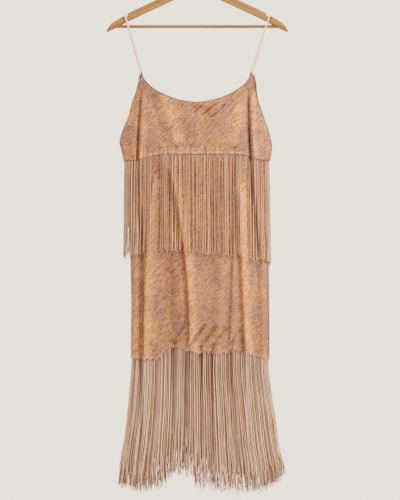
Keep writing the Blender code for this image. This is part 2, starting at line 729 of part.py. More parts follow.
def strap_leg(strap, foot_x, depth_side):
    """Half a strap, from its sewn end inside the bodice up to the top of its notch."""
    hand = 1.0 if strap.top_x > 0.0 else -1.0
    foot_y = depth_side * STRAP_HALF_DEPTH
    notch_y = depth_side * STRAP_NOTCH_HALF_DEPTH
    lean = (strap.bend_x - foot_x) / (strap.bend_z - APEX_Z)
    inset = 1.0 - STRAP_CORNER / STRAP_NOTCH_HALF_DEPTH
    middle_x = (foot_x + strap.bend_x) / 2
    middle_z = (APEX_Z + strap.bend_z) / 2
    return [
        (foot_x - lean * STRAP_TUCK, foot_y, APEX_Z - STRAP_TUCK),
        (foot_x, foot_y, APEX_Z),
        (middle_x, mix(foot_y, notch_y, STRAP_MIDDLE_NEARING), middle_z),
        (strap.bend_x, mix(foot_y, notch_y, STRAP_BEND_NEARING), strap.bend_z),
        (hand * STRAP_NOTCH_X, notch_y, STRAP_TOP_Z - STRAP_GROOVE_DROP),
        (strap.top_x, notch_y, STRAP_TOP_Z - STRAP_CORNER),
        (strap.top_x, notch_y * inset, STRAP_TOP_Z),
    ]


def strap(strap_side, material):
    """One shoulder strap: up at the front, over the notch and down at the back."""
    front = strap_leg(strap_side, strap_side.front_x, FRONT)
    back = strap_leg(strap_side, strap_side.back_x, BACK)
    route = smooth_route(front + back[::-1], 2)
    return round_cord("strap_" + strap_side.side, route, STRAP_RADIUS, material)


def build():
    """Empty the scene and make every piece."""
    for old in list(bpy.data.objects):
        bpy.data.objects.remove(old, do_unlink=True)
    cloth = make_material("crinkle cloth", (0.58, 0.33, 0.19), 0.45, 0.25)
    yarn = make_material("fringe yarn", (0.62, 0.37, 0.25), 0.60)
    cord = make_material("strap cord", (0.90, 0.70, 0.55), 0.50)
    wood = make_material("wood", (0.60, 0.33, 0.12), 0.45)
    bar_wood = make_material("bar wood", (0.50, 0.28, 0.13), 0.50)
    wire = make_material("hook wire", (0.70, 0.70, 0.72), 0.25, 1.0)

    hanger_wood(wood)
    hanger_bar(bar_wood)
    hanger_hook(wire)
    for strap_side in STRAPS:
        strap(strap_side, cord)
    seam_tape = (seam_tape_top, seam_tape_bottom, TAPE_IN, TAPE_OUT)
    hem_tape = (hem_tape_top, hem_tape_bottom, HEM_TAPE_IN, HEM_TAPE_OUT)
    for side, word in ((FRONT, "front"), (BACK, "back")):
        cloth_wall("bodice_" + word, side, bodice_heights, BODICE_IN, BODICE_OUT, cloth)
        cloth_wall("skirt_" + word, side, skirt_heights, SKIRT_IN, 0.0, cloth)
        fringe(
            "upper_fringe_" + word, side, UPPER_FRINGE_RINGS, seam_tape,
            UPPER_STRANDS_PER_COLUMN, UPPER_STRAND_CUTS, UPPER_FRINGE_ENDS, yarn,
        )
        fringe(
            "lower_fringe_" + word, side, LOWER_FRINGE_RINGS, hem_tape,
            LOWER_STRANDS_PER_COLUMN, LOWER_STRAND_CUTS, LOWER_FRINGE_ENDS, yarn,
        )


build()
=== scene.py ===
"""Looks of a fringed slip dress on a wooden hanger, built around its fixed model in metres.

The front of the dress faces -Y, +X is to the viewer's right and +Z is up. The origin is the
inside top of the hanger's hook.
"""

import math
from collections import namedtuple

import bmesh
import bpy
import numpy as np
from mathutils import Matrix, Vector


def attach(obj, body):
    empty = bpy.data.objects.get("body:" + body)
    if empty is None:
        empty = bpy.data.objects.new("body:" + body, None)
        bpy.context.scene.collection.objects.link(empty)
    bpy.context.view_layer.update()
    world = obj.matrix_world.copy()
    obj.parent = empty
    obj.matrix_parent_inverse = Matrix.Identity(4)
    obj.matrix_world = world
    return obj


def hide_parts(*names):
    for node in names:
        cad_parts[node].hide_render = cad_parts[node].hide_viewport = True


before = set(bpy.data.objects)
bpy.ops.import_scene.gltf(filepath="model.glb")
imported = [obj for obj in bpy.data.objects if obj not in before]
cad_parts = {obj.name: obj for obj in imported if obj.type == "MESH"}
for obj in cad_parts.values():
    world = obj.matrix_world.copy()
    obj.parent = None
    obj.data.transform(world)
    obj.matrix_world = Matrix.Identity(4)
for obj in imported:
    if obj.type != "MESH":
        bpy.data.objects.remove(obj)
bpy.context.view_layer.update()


# The hanger's arms are sawn from one board of pale hardwood, with rounded edges, a notch near
# each end for a strap, and a clear satin lacquer.
Edge = namedtuple("Edge", "x z")
HANGER_THICKNESS = 0.012
HANGER_ROUNDING = 0.0026
HANGER_HALF_OUTLINE = (
    Edge(0.0080, -0.0890),
    Edge(0.0300, -0.1012),
    Edge(0.1672, -0.1653),
    Edge(0.1690, -0.1735),
    Edge(0.1768, -0.1742),
    Edge(0.1774, -0.1718),
    Edge(0.1941, -0.1818),
    Edge(0.2050, -0.1882),
    Edge(0.2134, -0.1965),
    Edge(0.2200, -0.2092),
    Edge(0.2190, -0.2106),
    Edge(0.2008, -0.2026),
    Edge(0.1871, -0.1956),
    Edge(0.1653, -0.1838),
    Edge(0.0300, -0.1206),
    Edge(0.0120, -0.1145),
)
ARM_SLOPE = math.radians(25)
NOTCH_X = 0.1729
NOTCH_Z = -0.1840
NOTCH_WIDTH = 0.0088
NOTCH_FACE_DEPTH = 0.0015
NOTCH_LEAN = math.radians(16)
BAR_Z = -0.1973
BAR_RADIUS = 0.0038
BAR_HALF = 0.2020
SEAT_GAP = 0.0003
NOTCH_CUT_DEPTH = 0.010
NOTCH_CUT_HEIGHT = 0.040
ROUND_STEPS = 40
BEVEL_STEPS = 5
SHARP_ANGLE = math.radians(35)
FIGURE_SCALE = (9.0, 160.0, 160.0)
PORE_SCALE = (60.0, 1500.0, 1500.0)
PORE_RISE = 0.35
PORE_TONES = ((0.30, (0.62, 0.62, 0.62)), (0.48, (1.0, 1.0, 1.0)))
ARM_WOOD = ((0.40, 0.196, 0.028), (0.30, 0.136, 0.017), (0.13, 0.052, 0.008))


def shader_of(name):
    """A new material and its node tree's parts."""
    material = bpy.data.materials.new(name)
    material.use_nodes = True
    tree = material.node_tree
    return material, tree.nodes, tree.links, tree.nodes["Principled BSDF"]


def noise_at(nodes, links, scale, detail=3.0, roughness=0.5, turn=0.0, source=None):
    """Noise in object coordinates, or others, turned about Y and then stretched."""
    if source is None:
        source = nodes.new("ShaderNodeTexCoord").outputs["Object"]
    turned = nodes.new("ShaderNodeMapping")
    turned.inputs["Rotation"].default_value = (0.0, turn, 0.0)
    links.new(source, turned.inputs["Vector"])
    stretched = nodes.new("ShaderNodeMapping")
    stretched.inputs["Scale"].default_value = scale
    links.new(turned.outputs["Vector"], stretched.inputs["Vector"])
    noise = nodes.new("ShaderNodeTexNoise")
    noise.inputs["Scale"].default_value = 1.0
    noise.inputs["Detail"].default_value = detail
    noise.inputs["Roughness"].default_value = roughness
    links.new(stretched.outputs["Vector"], noise.inputs["Vector"])
    return noise.outputs["Fac"]


def colour_ramp(nodes, links, factor, stops):
    """Colours blended along a factor."""
    ramp = nodes.new("ShaderNodeValToRGB")
    ramp.color_ramp.elements[0].position = stops[0][0]
    ramp.color_ramp.elements[0].color = (*stops[0][1], 1.0)
    ramp.color_ramp.elements[1].position = stops[-1][0]
    ramp.color_ramp.elements[1].color = (*stops[-1][1], 1.0)
    for position, colour in stops[1:-1]:
        ramp.color_ramp.elements.new(position).color = (*colour, 1.0)
    links.new(factor, ramp.inputs["Fac"])
    return ramp.outputs["Color"]


def set_finish(shader, **values):
    """Constant values on the shader's own sockets."""
    for socket, value in values.items():
        shader.inputs[socket.replace("_", " ")].default_value = value


def multiply_colours(nodes, links, first, second, share=1.0):
    """One colour darkened or lightened by another."""
    mixer = nodes.new("ShaderNodeMix")
    mixer.data_type = "RGBA"
    mixer.blend_type = "MULTIPLY"
    mixer.inputs[0].default_value = share
    links.new(first, mixer.inputs[6])
    links.new(second, mixer.inputs[7])
    return mixer.outputs[2]


def raise_surface(nodes, links, height, strength, distance, under=None):
    """A bump from a height, over another bump."""
    bump = nodes.new("ShaderNodeBump")
    bump.inputs["Strength"].default_value = strength
    bump.inputs["Distance"].default_value = distance
    links.new(height, bump.inputs["Height"])
    if under is not None:
        links.new(under, bump.inputs["Normal"])
    return bump.outputs["Normal"]


def mirrored_place(nodes, links):
    """Object coordinates with X made positive, so that both arms share one grain."""
    place = nodes.new("ShaderNodeTexCoord")
    split = nodes.new("ShaderNodeSeparateXYZ")
    links.new(place.outputs["Object"], split.inputs["Vector"])
    mirror = nodes.new("ShaderNodeMath")
    mirror.operation = "ABSOLUTE"
    links.new(split.outputs["X"], mirror.inputs[0])
    joined = nodes.new("ShaderNodeCombineXYZ")
    links.new(mirror.outputs[0], joined.inputs["X"])
    links.new(split.outputs["Y"], joined.inputs["Y"])
    links.new(split.outputs["Z"], joined.inputs["Z"])
    return joined.outputs["Vector"]


def wood_material(name, tones, on_arms, pore_share):
    """Lacquered wood, light to dark, whose grain runs along the arms or the bar."""
    material, nodes, links, shader = shader_of(name)
    source = mirrored_place(nodes, links) if on_arms else None
    turn = -ARM_SLOPE if on_arms else 0.0
    figure = noise_at(nodes, links, FIGURE_SCALE, 4.0, 0.55, turn, source)
    fine = noise_at(nodes, links, PORE_SCALE, 2.0, 0.6, turn, source)
    light, mid, dark = tones
    grain = colour_ramp(nodes, links, figure, ((0.30, dark), (0.52, mid), (0.75, light)))
    pores = colour_ramp(nodes, links, fine, PORE_TONES)
    links.new(multiply_colours(nodes, links, grain, pores, pore_share), shader.inputs["Base Color"])
    rise = raise_surface(nodes, links, fine, PORE_RISE * pore_share, 0.0004)
    links.new(rise, shader.inputs["Normal"])
    set_finish(shader, Roughness=0.42, Coat_Weight=0.25, Coat_Roughness=0.25)
    return material


def new_object(name, data):
    """An object of the scene, at the origin."""
    item = bpy.data.objects.new(name, data)
    bpy.context.scene.collection.objects.link(item)
    return item


def add_piece(name, mesh, material, smooth=True):
    """Put a mesh in the scene with its material."""
    mesh.materials.append(material)
    if smooth:
        mesh.shade_smooth()
    return new_object(name, mesh)


def finished_mesh(bm, name, turn_out=True):
    """A mesh from a bmesh, with its faces pointing out."""
    if turn_out:
        bmesh.ops.recalc_face_normals(bm, faces=bm.faces[:])
    mesh = bpy.data.meshes.new(name)
    bm.to_mesh(mesh)
    bm.free()
    return mesh


def belongs(piece, slot, *nodes):
    """Ride on the one body and stand for the model's nodes, if any; the slot is not used."""
    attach(piece, "root")
    if nodes:
        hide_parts(*nodes)


def rod_along_bar(bm, radius, half):
    """A round rod across the hanger, where its bar lies."""
    rod = bmesh.ops.create_cone(
        bm, cap_ends=True, segments=ROUND_STEPS, radius1=radius, radius2=radius, depth=2.0 * half,
    )["verts"]
    for vert in rod:
        vert.co = Vector((vert.co.z, vert.co.x, vert.co.y + BAR_Z))


def new_points(grown):
    """The new points among the parts of an extrusion."""
    return [item for item in grown["geom"] if isinstance(item, bmesh.types.BMVert)]


wood = wood_material("hanger wood", ARM_WOOD, True, 0.7)
bm = bmesh.new()
right_half = [Vector((p.x, -HANGER_THICKNESS / 2, p.z)) for p in HANGER_HALF_OUTLINE]
left_half = [Vector((-p.x, p.y, p.z)) for p in reversed(right_half)]
board = bm.faces.new([bm.verts.new(p) for p in right_half + left_half])
grown = bmesh.ops.extrude_face_region(bm, geom=[board])
bmesh.ops.translate(bm, vec=(0.0, HANGER_THICKNESS, 0.0), verts=new_points(grown))
rims = [edge for edge in bm.edges if abs(edge.verts[0].co.y - edge.verts[1].co.y) < 1e-6]
bmesh.ops.bevel(
    bm, geom=rims, offset=HANGER_ROUNDING, segments=BEVEL_STEPS, profile=0.5, affect="EDGES",
    clamp_overlap=True, material=-1,
)
hanger = add_piece("hanger_arms", finished_mesh(bm, "hanger_arms"), wood)

bm = bmesh.new()
for hand in (-1, 1):
    for face in (-1, 1):
        block = bmesh.ops.create_cube(bm, size=1.0)["verts"]
        bmesh.ops.scale(bm, vec=(NOTCH_WIDTH, NOTCH_CUT_DEPTH, NOTCH_CUT_HEIGHT), verts=block)
        lean = hand * NOTCH_LEAN
        for vert in block:
            across = vert.co.x
            vert.co.x = across * math.cos(lean) + vert.co.z * math.sin(lean)
            vert.co.z = vert.co.z * math.cos(lean) - across * math.sin(lean)
        block_y = face * (HANGER_THICKNESS / 2 + NOTCH_CUT_DEPTH / 2 - NOTCH_FACE_DEPTH)
        bmesh.ops.translate(bm, vec=(hand * NOTCH_X, block_y, NOTCH_Z), verts=block)
rod_along_bar(bm, BAR_RADIUS + SEAT_GAP, BAR_HALF + SEAT_GAP)
cuts = add_piece("hanger_cuts", finished_mesh(bm, "hanger_cuts"), wood, smooth=False)
cut = hanger.modifiers.new("cuts", "BOOLEAN")
cut.operation = "DIFFERENCE"
cut.object = cuts
solid = bpy.data.meshes.new_from_object(hanger.evaluated_get(bpy.context.evaluated_depsgraph_get()))
hanger.modifiers.clear()
hanger.data = solid
solid.shade_smooth()
solid.set_sharp_from_angle(angle=SHARP_ANGLE)
bpy.data.objects.remove(cuts, do_unlink=True)
belongs(hanger, "wood", "hanger_wood")


# The trouser bar is a turned dowel of the same wood, a little redder and lacquered the same way.
# Its ends are let into the underside of both arms and glued there.
BAR_END_ROUNDING = 0.0006
BAR_WOOD = ((0.31, 0.138, 0.030), (0.25, 0.105, 0.021), (0.17, 0.066, 0.013))
bar_wood = wood_material("bar wood", BAR_WOOD, False, 0.25)
bm = bmesh.new()
rod_along_bar(bm, BAR_RADIUS, BAR_HALF)
end_rims = [
    edge for edge in bm.edges if all(abs(abs(vert.co.x) - BAR_HALF) < 1e-5 for vert in edge.verts)
]
bmesh.ops.bevel(
    bm, geom=end_rims, offset=BAR_END_ROUNDING, segments=2, profile=0.5, affect="EDGES", material=-1,
)
bar = add_piece("hanger_dowel", finished_mesh(bm, "hanger_dowel"), bar_wood)
bar.data.set_sharp_from_angle(angle=SHARP_ANGLE)
belongs(bar, "bar_wood", "hanger_bar")


# The hook is bent from round steel wire, then polished and plated. Its straight foot is screwed
# into the wood where the two arms meet.
WIRE_RADIUS = 0.00175
HOOK_RADIUS = 0.0200
HOOK_CENTRE_Z = WIRE_RADIUS - HOOK_RADIUS
HOOK_START = math.radians(-42)
HOOK_END = math.radians(205)
HOOK_STEPS = 60
STEM_STEPS = 8
WIRE_SIDES = 6
WIPE_SCALE = (300.0, 300.0, 60.0)
WIRE_TONES = ((0.3, (0.60, 0.60, 0.62)), (0.7, (0.74, 0.74, 0.76)))
HOOK_STEM = (
    Edge(0.0000, -0.1040),
    Edge(0.0000, -0.0800),
    Edge(0.0000, -0.0620),
    Edge(0.0024, -0.0520),
    Edge(0.0082, -0.0400),
)


def smooth_route(points, steps):
    """More points on one smooth curve through a route's own points."""
    route = [Vector(point) for point in points]
    padded = [route[0] * 2.0 - route[1]] + route + [route[-1] * 2.0 - route[-2]]
    fine = []
    for start in range(1, len(padded) - 2):
        before, here, there, after = padded[start - 1:start + 3]
        for step in range(steps):
            t = step / steps
            bend = (there - before) * t
            sag = (before * 2.0 - here * 5.0 + there * 4.0 - after) * t * t
            curl = (here * 3.0 - before - there * 3.0 + after) * t ** 3
            fine.append((here * 2.0 + bend + sag + curl) * 0.5)
    return fine + [route[-1]]


def tube_along(name, points, radius, sides, material):
    """A round tube swept along a line of points, closed by caps, with UVs along it."""
    curve = bpy.data.curves.new(name, "CURVE")
    curve.dimensions = "3D"
    curve.bevel_depth = radius
    curve.bevel_resolution = sides
    curve.use_fill_caps = True
    spline = curve.splines.new("POLY")
    spline.points.add(len(points) - 1)
    for spot, point in zip(spline.points, points):
        spot.co = (*point, 1.0)
    holder = new_object(name + "_line", curve)
    mesh = bpy.data.meshes.new_from_object(holder.evaluated_get(bpy.context.evaluated_depsgraph_get()))
    bpy.data.objects.remove(holder, do_unlink=True)
    bm = bmesh.new()
    bm.from_mesh(mesh)
    bmesh.ops.remove_doubles(bm, verts=bm.verts[:], dist=1e-6)
    return add_piece(name, finished_mesh(bm, name), material)


steel, nodes, links, shader = shader_of("plated steel wire")
wipe = noise_at(nodes, links, WIPE_SCALE)
links.new(colour_ramp(nodes, links, wipe, WIRE_TONES), shader.inputs["Base Color"])
links.new(raise_surface(nodes, links, wipe, 0.08, 0.0003), shader.inputs["Normal"])
set_finish(shader, Metallic=1.0, Roughness=0.22)

stem_points = [(p.x, 0.0, p.z) for p in HOOK_STEM]
arc_points = []
for step in range(HOOK_STEPS + 1):
    angle = HOOK_START + (HOOK_END - HOOK_START) * step / HOOK_STEPS
    arc_points.append((HOOK_RADIUS * math.cos(angle), 0.0, HOOK_CENTRE_Z + HOOK_RADIUS * math.sin(angle)))
hook_line = smooth_route(stem_points + [arc_points[0]], STEM_STEPS)[:-1] + [Vector(p) for p in arc_points]
hook = tube_along("hook_wire", hook_line, WIRE_RADIUS, WIRE_SIDES, steel)
belongs(hook, "hook_wire", "hanger_hook")


# The body surface is what every cut of cloth lies on: a flattened tube with the folds that the
# dress hangs in. It is given as rings down the dress and as folds that run down through them.
Ring = namedtuple("Ring", "z left right depth")
BODY_RINGS = (
    Ring(-0.3086, -0.1345, 0.1300, 0.0094),
    Ring(-0.3300, -0.1392, 0.1370, 0.0105),
    Ring(-0.3550, -0.1465, 0.1411, 0.0120),
    Ring(-0.3850, -0.1575, 0.1490, 0.0140),
    Ring(-0.4150, -0.1650, 0.1592, 0.0170),
    Ring(-0.4450, -0.1760, 0.1680, 0.0195),
    Ring(-0.4760, -0.1855, 0.1766, 0.0220),
    Ring(-0.4900, -0.1822, 0.1780, 0.0230),
    Ring(-0.5100, -0.1775, 0.1755, 0.0245),
    Ring(-0.5327, -0.1735, 0.1715, 0.0260),
    Ring(-0.6500, -0.1680, 0.1700, 0.0300),
    Ring(-0.7550, -0.1625, 0.1730, 0.0325),
    Ring(-0.8500, -0.1603, 0.1745, 0.0345),
    Ring(-0.9200, -0.1606, 0.1750, 0.0360),
    Ring(-1.0200, -0.1615, 0.1755, 0.0375),
)
FRONT = -1
BACK = 1
APEX_Z = -0.3086
UNDERARM_Z = -0.4700
ARMHOLE_FLAT_Z = -0.4000
APEX_HALF_DEPTH = 0.0074
BACK_APEX_LEFT = -0.0045
BACK_APEX_RIGHT = 0.0060
SEAM_HALF_GAP = 0.00015
SEAM_FADE = 0.10

FOLD_FIELDS = "name top_x top_z mid_x mid_z low_x low_z half_width depth skew"
Fold = namedtuple("Fold", FOLD_FIELDS, defaults=(1.0,))
FRONT_FOLDS = (
    Fold("left strap valley", -0.1348, -0.3367, -0.1425, -0.4800, -0.1410, -0.7045, 0.0065, 0.0080, 0.60),
    Fold("left strap ridge", -0.1268, -0.3464, -0.1345, -0.4800, -0.1330, -0.6600, 0.0035, -0.0032, 2.60),
    Fold("left skirt valley", -0.1340, -0.6200, -0.1335, -0.7674, -0.1345, -0.9950, 0.0060, 0.0062, 0.60),
    Fold("left skirt ridge", -0.1010, -0.5400, -0.1190, -0.7500, -0.1270, -0.9950, 0.0042, -0.0064, 4.00),
    Fold("left hem flute", -0.1470, -0.7200, -0.1505, -0.8700, -0.1529, -0.9950, 0.0070, -0.0036),
    Fold("broad valley", -0.0860, -0.5158, -0.0740, -0.7142, -0.0600, -0.9950, 0.0260, 0.0105, 0.72),
    Fold("broad valley wall", -0.0780, -0.5300, -0.0385, -0.7384, -0.0262, -0.9950, 0.0100, 0.0050, 0.42),
    Fold("broad valley ridge", -0.0670, -0.5206, -0.0285, -0.7384, -0.0165, -0.9950, 0.0040, -0.0056, 3.60),
    Fold("bodice slant dip", -0.1094, -0.3609, -0.0949, -0.4190, -0.0731, -0.4964, 0.0120, 0.0030, 1.10),
    Fold("bodice slant ridge", -0.0860, -0.3609, -0.0690, -0.4190, -0.0449, -0.4916, 0.0090, -0.0026, 1.90),
    Fold("bodice low dip", -0.0465, -0.4190, -0.0319, -0.4577, -0.0271, -0.5012, 0.0180, 0.0030),
    Fold("bodice middle dip", 0.0044, -0.3851, 0.0165, -0.4383, 0.0310, -0.5012, 0.0240, 0.0034),
    Fold("bodice right rise", 0.0987, -0.3657, 0.0939, -0.4335, 0.0794, -0.4964, 0.0110, -0.0022, 1.40),
    Fold("middle skirt dip", 0.0407, -0.5327, 0.0358, -0.7384, 0.0310, -0.9950, 0.0140, 0.0032, 0.70),
    Fold("middle skirt rise", 0.0600, -0.7626, 0.0576, -0.8594, 0.0528, -0.9950, 0.0070, -0.0016, 1.50),
    Fold("right centre valley", 0.0862, -0.5012, 0.0837, -0.6779, 0.0716, -0.9950, 0.0100, 0.0048, 0.35),
    Fold("right centre ridge", 0.0951, -0.5327, 0.0915, -0.7142, 0.0806, -0.9950, 0.0030, -0.0016, 3.40),
    Fold("right skirt wall", 0.0930, -0.5900, 0.0985, -0.7674, 0.1085, -0.9950, 0.0080, 0.0030, 0.50),
    Fold("right skirt ridge", 0.1040, -0.5690, 0.1090, -0.7674, 0.1195, -0.9950, 0.0045, -0.0074, 3.40),
    Fold("right low valley", 0.1400, -0.7021, 0.1440, -0.8352, 0.1490, -0.9950, 0.0110, 0.0056, 0.80),
    Fold("right strap valley", 0.1229, -0.3318, 0.1263, -0.4722, 0.1544, -0.7916, 0.0060, 0.0095, 0.60),
    Fold("right strap ridge", 0.1321, -0.3367, 0.1360, -0.4964, 0.1629, -0.7820, 0.0032, -0.0036, 2.40),
    Fold("right side dip", 0.1496, -0.4141, 0.1592, -0.4674, 0.1604, -0.5158, 0.0060, 0.0026),
    Fold("left side dip", -0.1650, -0.4190, -0.1675, -0.4722, -0.1638, -0.5158, 0.0050, 0.0024),
    Fold("left hem crease", -0.1300, -0.9199, -0.1312, -0.9562, -0.1324, -0.9950, 0.0035, 0.0022),
    Fold("middle hem flute", 0.0225, -0.9441, 0.0232, -0.9635, 0.0237, -0.9950, 0.0060, 0.0024),
    Fold("right hem flute", 0.1048, -0.9320, 0.1060, -0.9635, 0.1072, -0.9950, 0.0055, 0.0022),
    Fold("tuck one", -0.1302, -0.4891, -0.1302, -0.4964, -0.1304, -0.5158, 0.0022, 0.0016),
    Fold("tuck two", -0.1195, -0.4904, -0.1198, -0.4988, -0.1198, -0.5158, 0.0024, 0.0018),
    Fold("tuck three", -0.1079, -0.4879, -0.1082, -0.4964, -0.1084, -0.5133, 0.0022, 0.0016),
    Fold("tuck four", -0.0929, -0.4891, -0.0932, -0.4988, -0.0934, -0.5133, 0.0026, 0.0018),
    Fold("tuck five", -0.0721, -0.4879, -0.0721, -0.4964, -0.0724, -0.5121, 0.0026, 0.0020),
    Fold("dent one", -0.0513, -0.4855, -0.0515, -0.4964, -0.0518, -0.5109, 0.0026, 0.0024),
    Fold("dent two", -0.0174, -0.4843, -0.0177, -0.4964, -0.0179, -0.5109, 0.0026, 0.0026),
    Fold("dent three", 0.0189, -0.4879, 0.0189, -0.4988, 0.0189, -0.5109, 0.0024, 0.0024),
    Fold("dent four", 0.0528, -0.4867, 0.0528, -0.4988, 0.0530, -0.5109, 0.0026, 0.0024),
    Fold("dent five", 0.0871, -0.4891, 0.0871, -0.4988, 0.0871, -0.5109, 0.0026, 0.0020),
    Fold("hem crumple one", 0.0213, -0.9126, 0.0030, -0.9400, -0.0174, -0.9683, 0.0038, 0.0062),
    Fold("hem crumple two", 0.0479, -0.9174, 0.0290, -0.9430, 0.0092, -0.9707, 0.0040, 0.0066),
    Fold("hem crumple three", 0.0721, -0.9247, 0.0550, -0.9480, 0.0358, -0.9731, 0.0036, 0.0054),
    Fold("hem crumple four", -0.0295, -0.9223, -0.0440, -0.9400, -0.0586, -0.9586, 0.0040, 0.0054),
    Fold("hem crumple five", 0.1060, -0.9271, 0.0945, -0.9430, 0.0818, -0.9610, 0.0034, 0.0046),
    Fold("neck crumple one", 0.0160, -0.3851, 0.0041, -0.3960, -0.0131, -0.4105, 0.0040, 0.0034),
    Fold("neck crumple two", 0.0421, -0.3863, 0.0281, -0.3996, 0.0109, -0.4129, 0.0038, 0.0042),
    Fold("neck crumple three", 0.0680, -0.3851, 0.0520, -0.4020, 0.0329, -0.4202, 0.0042, 0.0034),
    Fold("neck crumple four", -0.0450, -0.3899, -0.0561, -0.4020, -0.0699, -0.4153, 0.0050, 0.0016),
)
BACK_FOLDS = (
    Fold("left strap valley", -0.1290, -0.3452, -0.1389, -0.4988, -0.1481, -0.7602, 0.0065, 0.0100, 0.65),
    Fold("left strap ridge", -0.1200, -0.3585, -0.1290, -0.4698, -0.1341, -0.5593, 0.0040, -0.0030, 2.20),
    Fold("left skirt valley", -0.0820, -0.5061, -0.0859, -0.7287, -0.0760, -0.9950, 0.0060, 0.0085, 2.60),
    Fold("left skirt ridge", -0.0610, -0.5448, -0.0489, -0.7384, -0.0392, -0.9950, 0.0050, -0.0045, 2.20),
    Fold("left hem ridge", -0.1120, -0.5400, -0.1079, -0.7505, -0.1200, -0.9950, 0.0080, -0.0045, 1.50),
    Fold("bodice slant ridge", -0.0501, -0.3899, -0.0329, -0.4407, -0.0150, -0.5049, 0.0060, -0.0036, 2.40),
    Fold("bodice slant dip", -0.0760, -0.3948, -0.0600, -0.4407, -0.0431, -0.4988, 0.0080, 0.0030, 1.60),
    Fold("bodice right dip", 0.0600, -0.3948, 0.0455, -0.4432, 0.0358, -0.4964, 0.0130, 0.0020),
    Fold("middle valley", -0.0160, -0.5206, -0.0060, -0.7408, 0.0150, -0.9950, 0.0070, 0.0090, 2.40),
    Fold("middle ridge", 0.0140, -0.5690, 0.0329, -0.7795, 0.0479, -0.9950, 0.0050, -0.0046, 2.40),
    Fold("right skirt valley", 0.0699, -0.5000, 0.0789, -0.7287, 0.0939, -0.9950, 0.0080, 0.0085, 0.60),
    Fold("right skirt ridge", 0.0927, -0.5569, 0.1060, -0.7795, 0.1261, -0.9950, 0.0045, -0.0055, 2.60),
    Fold("right strap valley", 0.1251, -0.3452, 0.1331, -0.4988, 0.1481, -0.7795, 0.0065, 0.0100, 0.65),
    Fold("right strap ridge", 0.1350, -0.3585, 0.1418, -0.4964, 0.1544, -0.6900, 0.0040, -0.0030, 2.20),
    Fold("left hem flute", -0.1399, -0.8899, -0.1411, -0.9501, -0.1421, -0.9950, 0.0050, 0.0026),
    Fold("right hem flute", 0.1089, -0.9001, 0.1079, -0.9501, 0.1070, -0.9950, 0.0050, 0.0024),
    Fold("dent one", -0.0600, -0.4860, -0.0600, -0.4969, -0.0600, -0.5141, 0.0026, 0.0022),
    Fold("dent two", 0.0041, -0.4850, 0.0041, -0.4969, 0.0041, -0.5141, 0.0026, 0.0024),
    Fold("dent three", 0.0421, -0.4879, 0.0421, -0.4981, 0.0421, -0.5141, 0.0024, 0.0022),
    Fold("dent four", 0.0999, -0.4850, 0.0999, -0.4969, 0.0999, -0.5160, 0.0026, 0.0020),
    Fold("neck crumple one", -0.0300, -0.3870, -0.0201, -0.3991, -0.0060, -0.4129, 0.0045, 0.0018),
    Fold("neck crumple two", 0.0300, -0.3870, 0.0399, -0.3991, 0.0540, -0.4129, 0.0045, 0.0018),
)
FOLD_FADE = 0.12
FOLD_HEM_Z = -0.95
FRINGE_FOLD_SHARE = 0.35
FRINGE_FOLD_FALL = 0.30
FOLD_LIMIT = 0.6
CROWN_POWER = 3
NORMAL_SHARE_STEP = 0.003
NORMAL_HEIGHT_STEP = 0.002
CRUSH_TURN = math.radians(40)
CRUSH_RISE = 0.00030
CRUSH_SIDE_SHIFT = 0.03
CRUSH_RATE = 520.0
FINE_CRUSH_RATE = 870.0
WANDER_RATE = 41.0
FINE_WANDER_RATE = 97.0
PATCH_RATE = 29.0


def mix(first, second, share):
    """Blend two values or arrays."""
    return first + (second - first) * share


def ease(value):
    """Rise smoothly from 0 to 1."""
    value = np.clip(value, 0.0, 1.0)
    return value * value * (3.0 - 2.0 * value)


def along(rows, key, place, field):
    """Read one column of a table as a smooth curve of another column, for a whole array."""
    places = np.array([getattr(row, key) for row in rows])
    values = np.array([getattr(row, field) for row in rows])
    order = np.argsort(places)
    places = places[order]
    values = values[order]
    place = np.clip(place, places[0], places[-1])
    index = np.clip(np.searchsorted(places, place) - 1, 0, len(places) - 2)
    before = np.maximum(np.arange(len(places)) - 1, 0)
    after = np.minimum(np.arange(len(places)) + 1, len(places) - 1)
    slopes = (values[after] - values[before]) / (places[after] - places[before])
    step = places[index + 1] - places[index]
    share = (place - places[index]) / step
    rise = mix(values[index], values[index + 1], ease(share))
    start_bend = slopes[index] * step * share * (1.0 - share) ** 2
    end_bend = slopes[index + 1] * step * share ** 2 * (share - 1.0)
    return rise + start_bend + end_bend


def fold_depth(side, x, z):
    """How far in the folds push the cloth, for arrays of places."""
    total = np.zeros_like(x)
    for fold in FRONT_FOLDS if side == FRONT else BACK_FOLDS:
        length = fold.top_z - fold.low_z
        mid_share = (fold.top_z - fold.mid_z) / length
        share = np.clip((fold.top_z - z) / length, 0.0, 1.0)
        bow = fold.mid_x - mix(fold.top_x, fold.low_x, mid_share)
        bow = bow / (mid_share * (1.0 - mid_share))
        path_x = mix(fold.top_x, fold.low_x, share) + bow * share * (1.0 - share)
        strength = ease(share / FOLD_FADE)
        if fold.low_z < FOLD_HEM_Z:
            strength = strength * mix(1.0, FRINGE_FOLD_SHARE, ease((fold.low_z - z) / FRINGE_FOLD_FALL))
        else:
            strength = strength * ease((1.0 - share) / FOLD_FADE)
        off = x - path_x
        width = np.where(off > 0.0, fold.half_width * fold.skew, fold.half_width)
        total = total + fold.depth * strength * np.exp(-(off / width) ** 2)
    return total


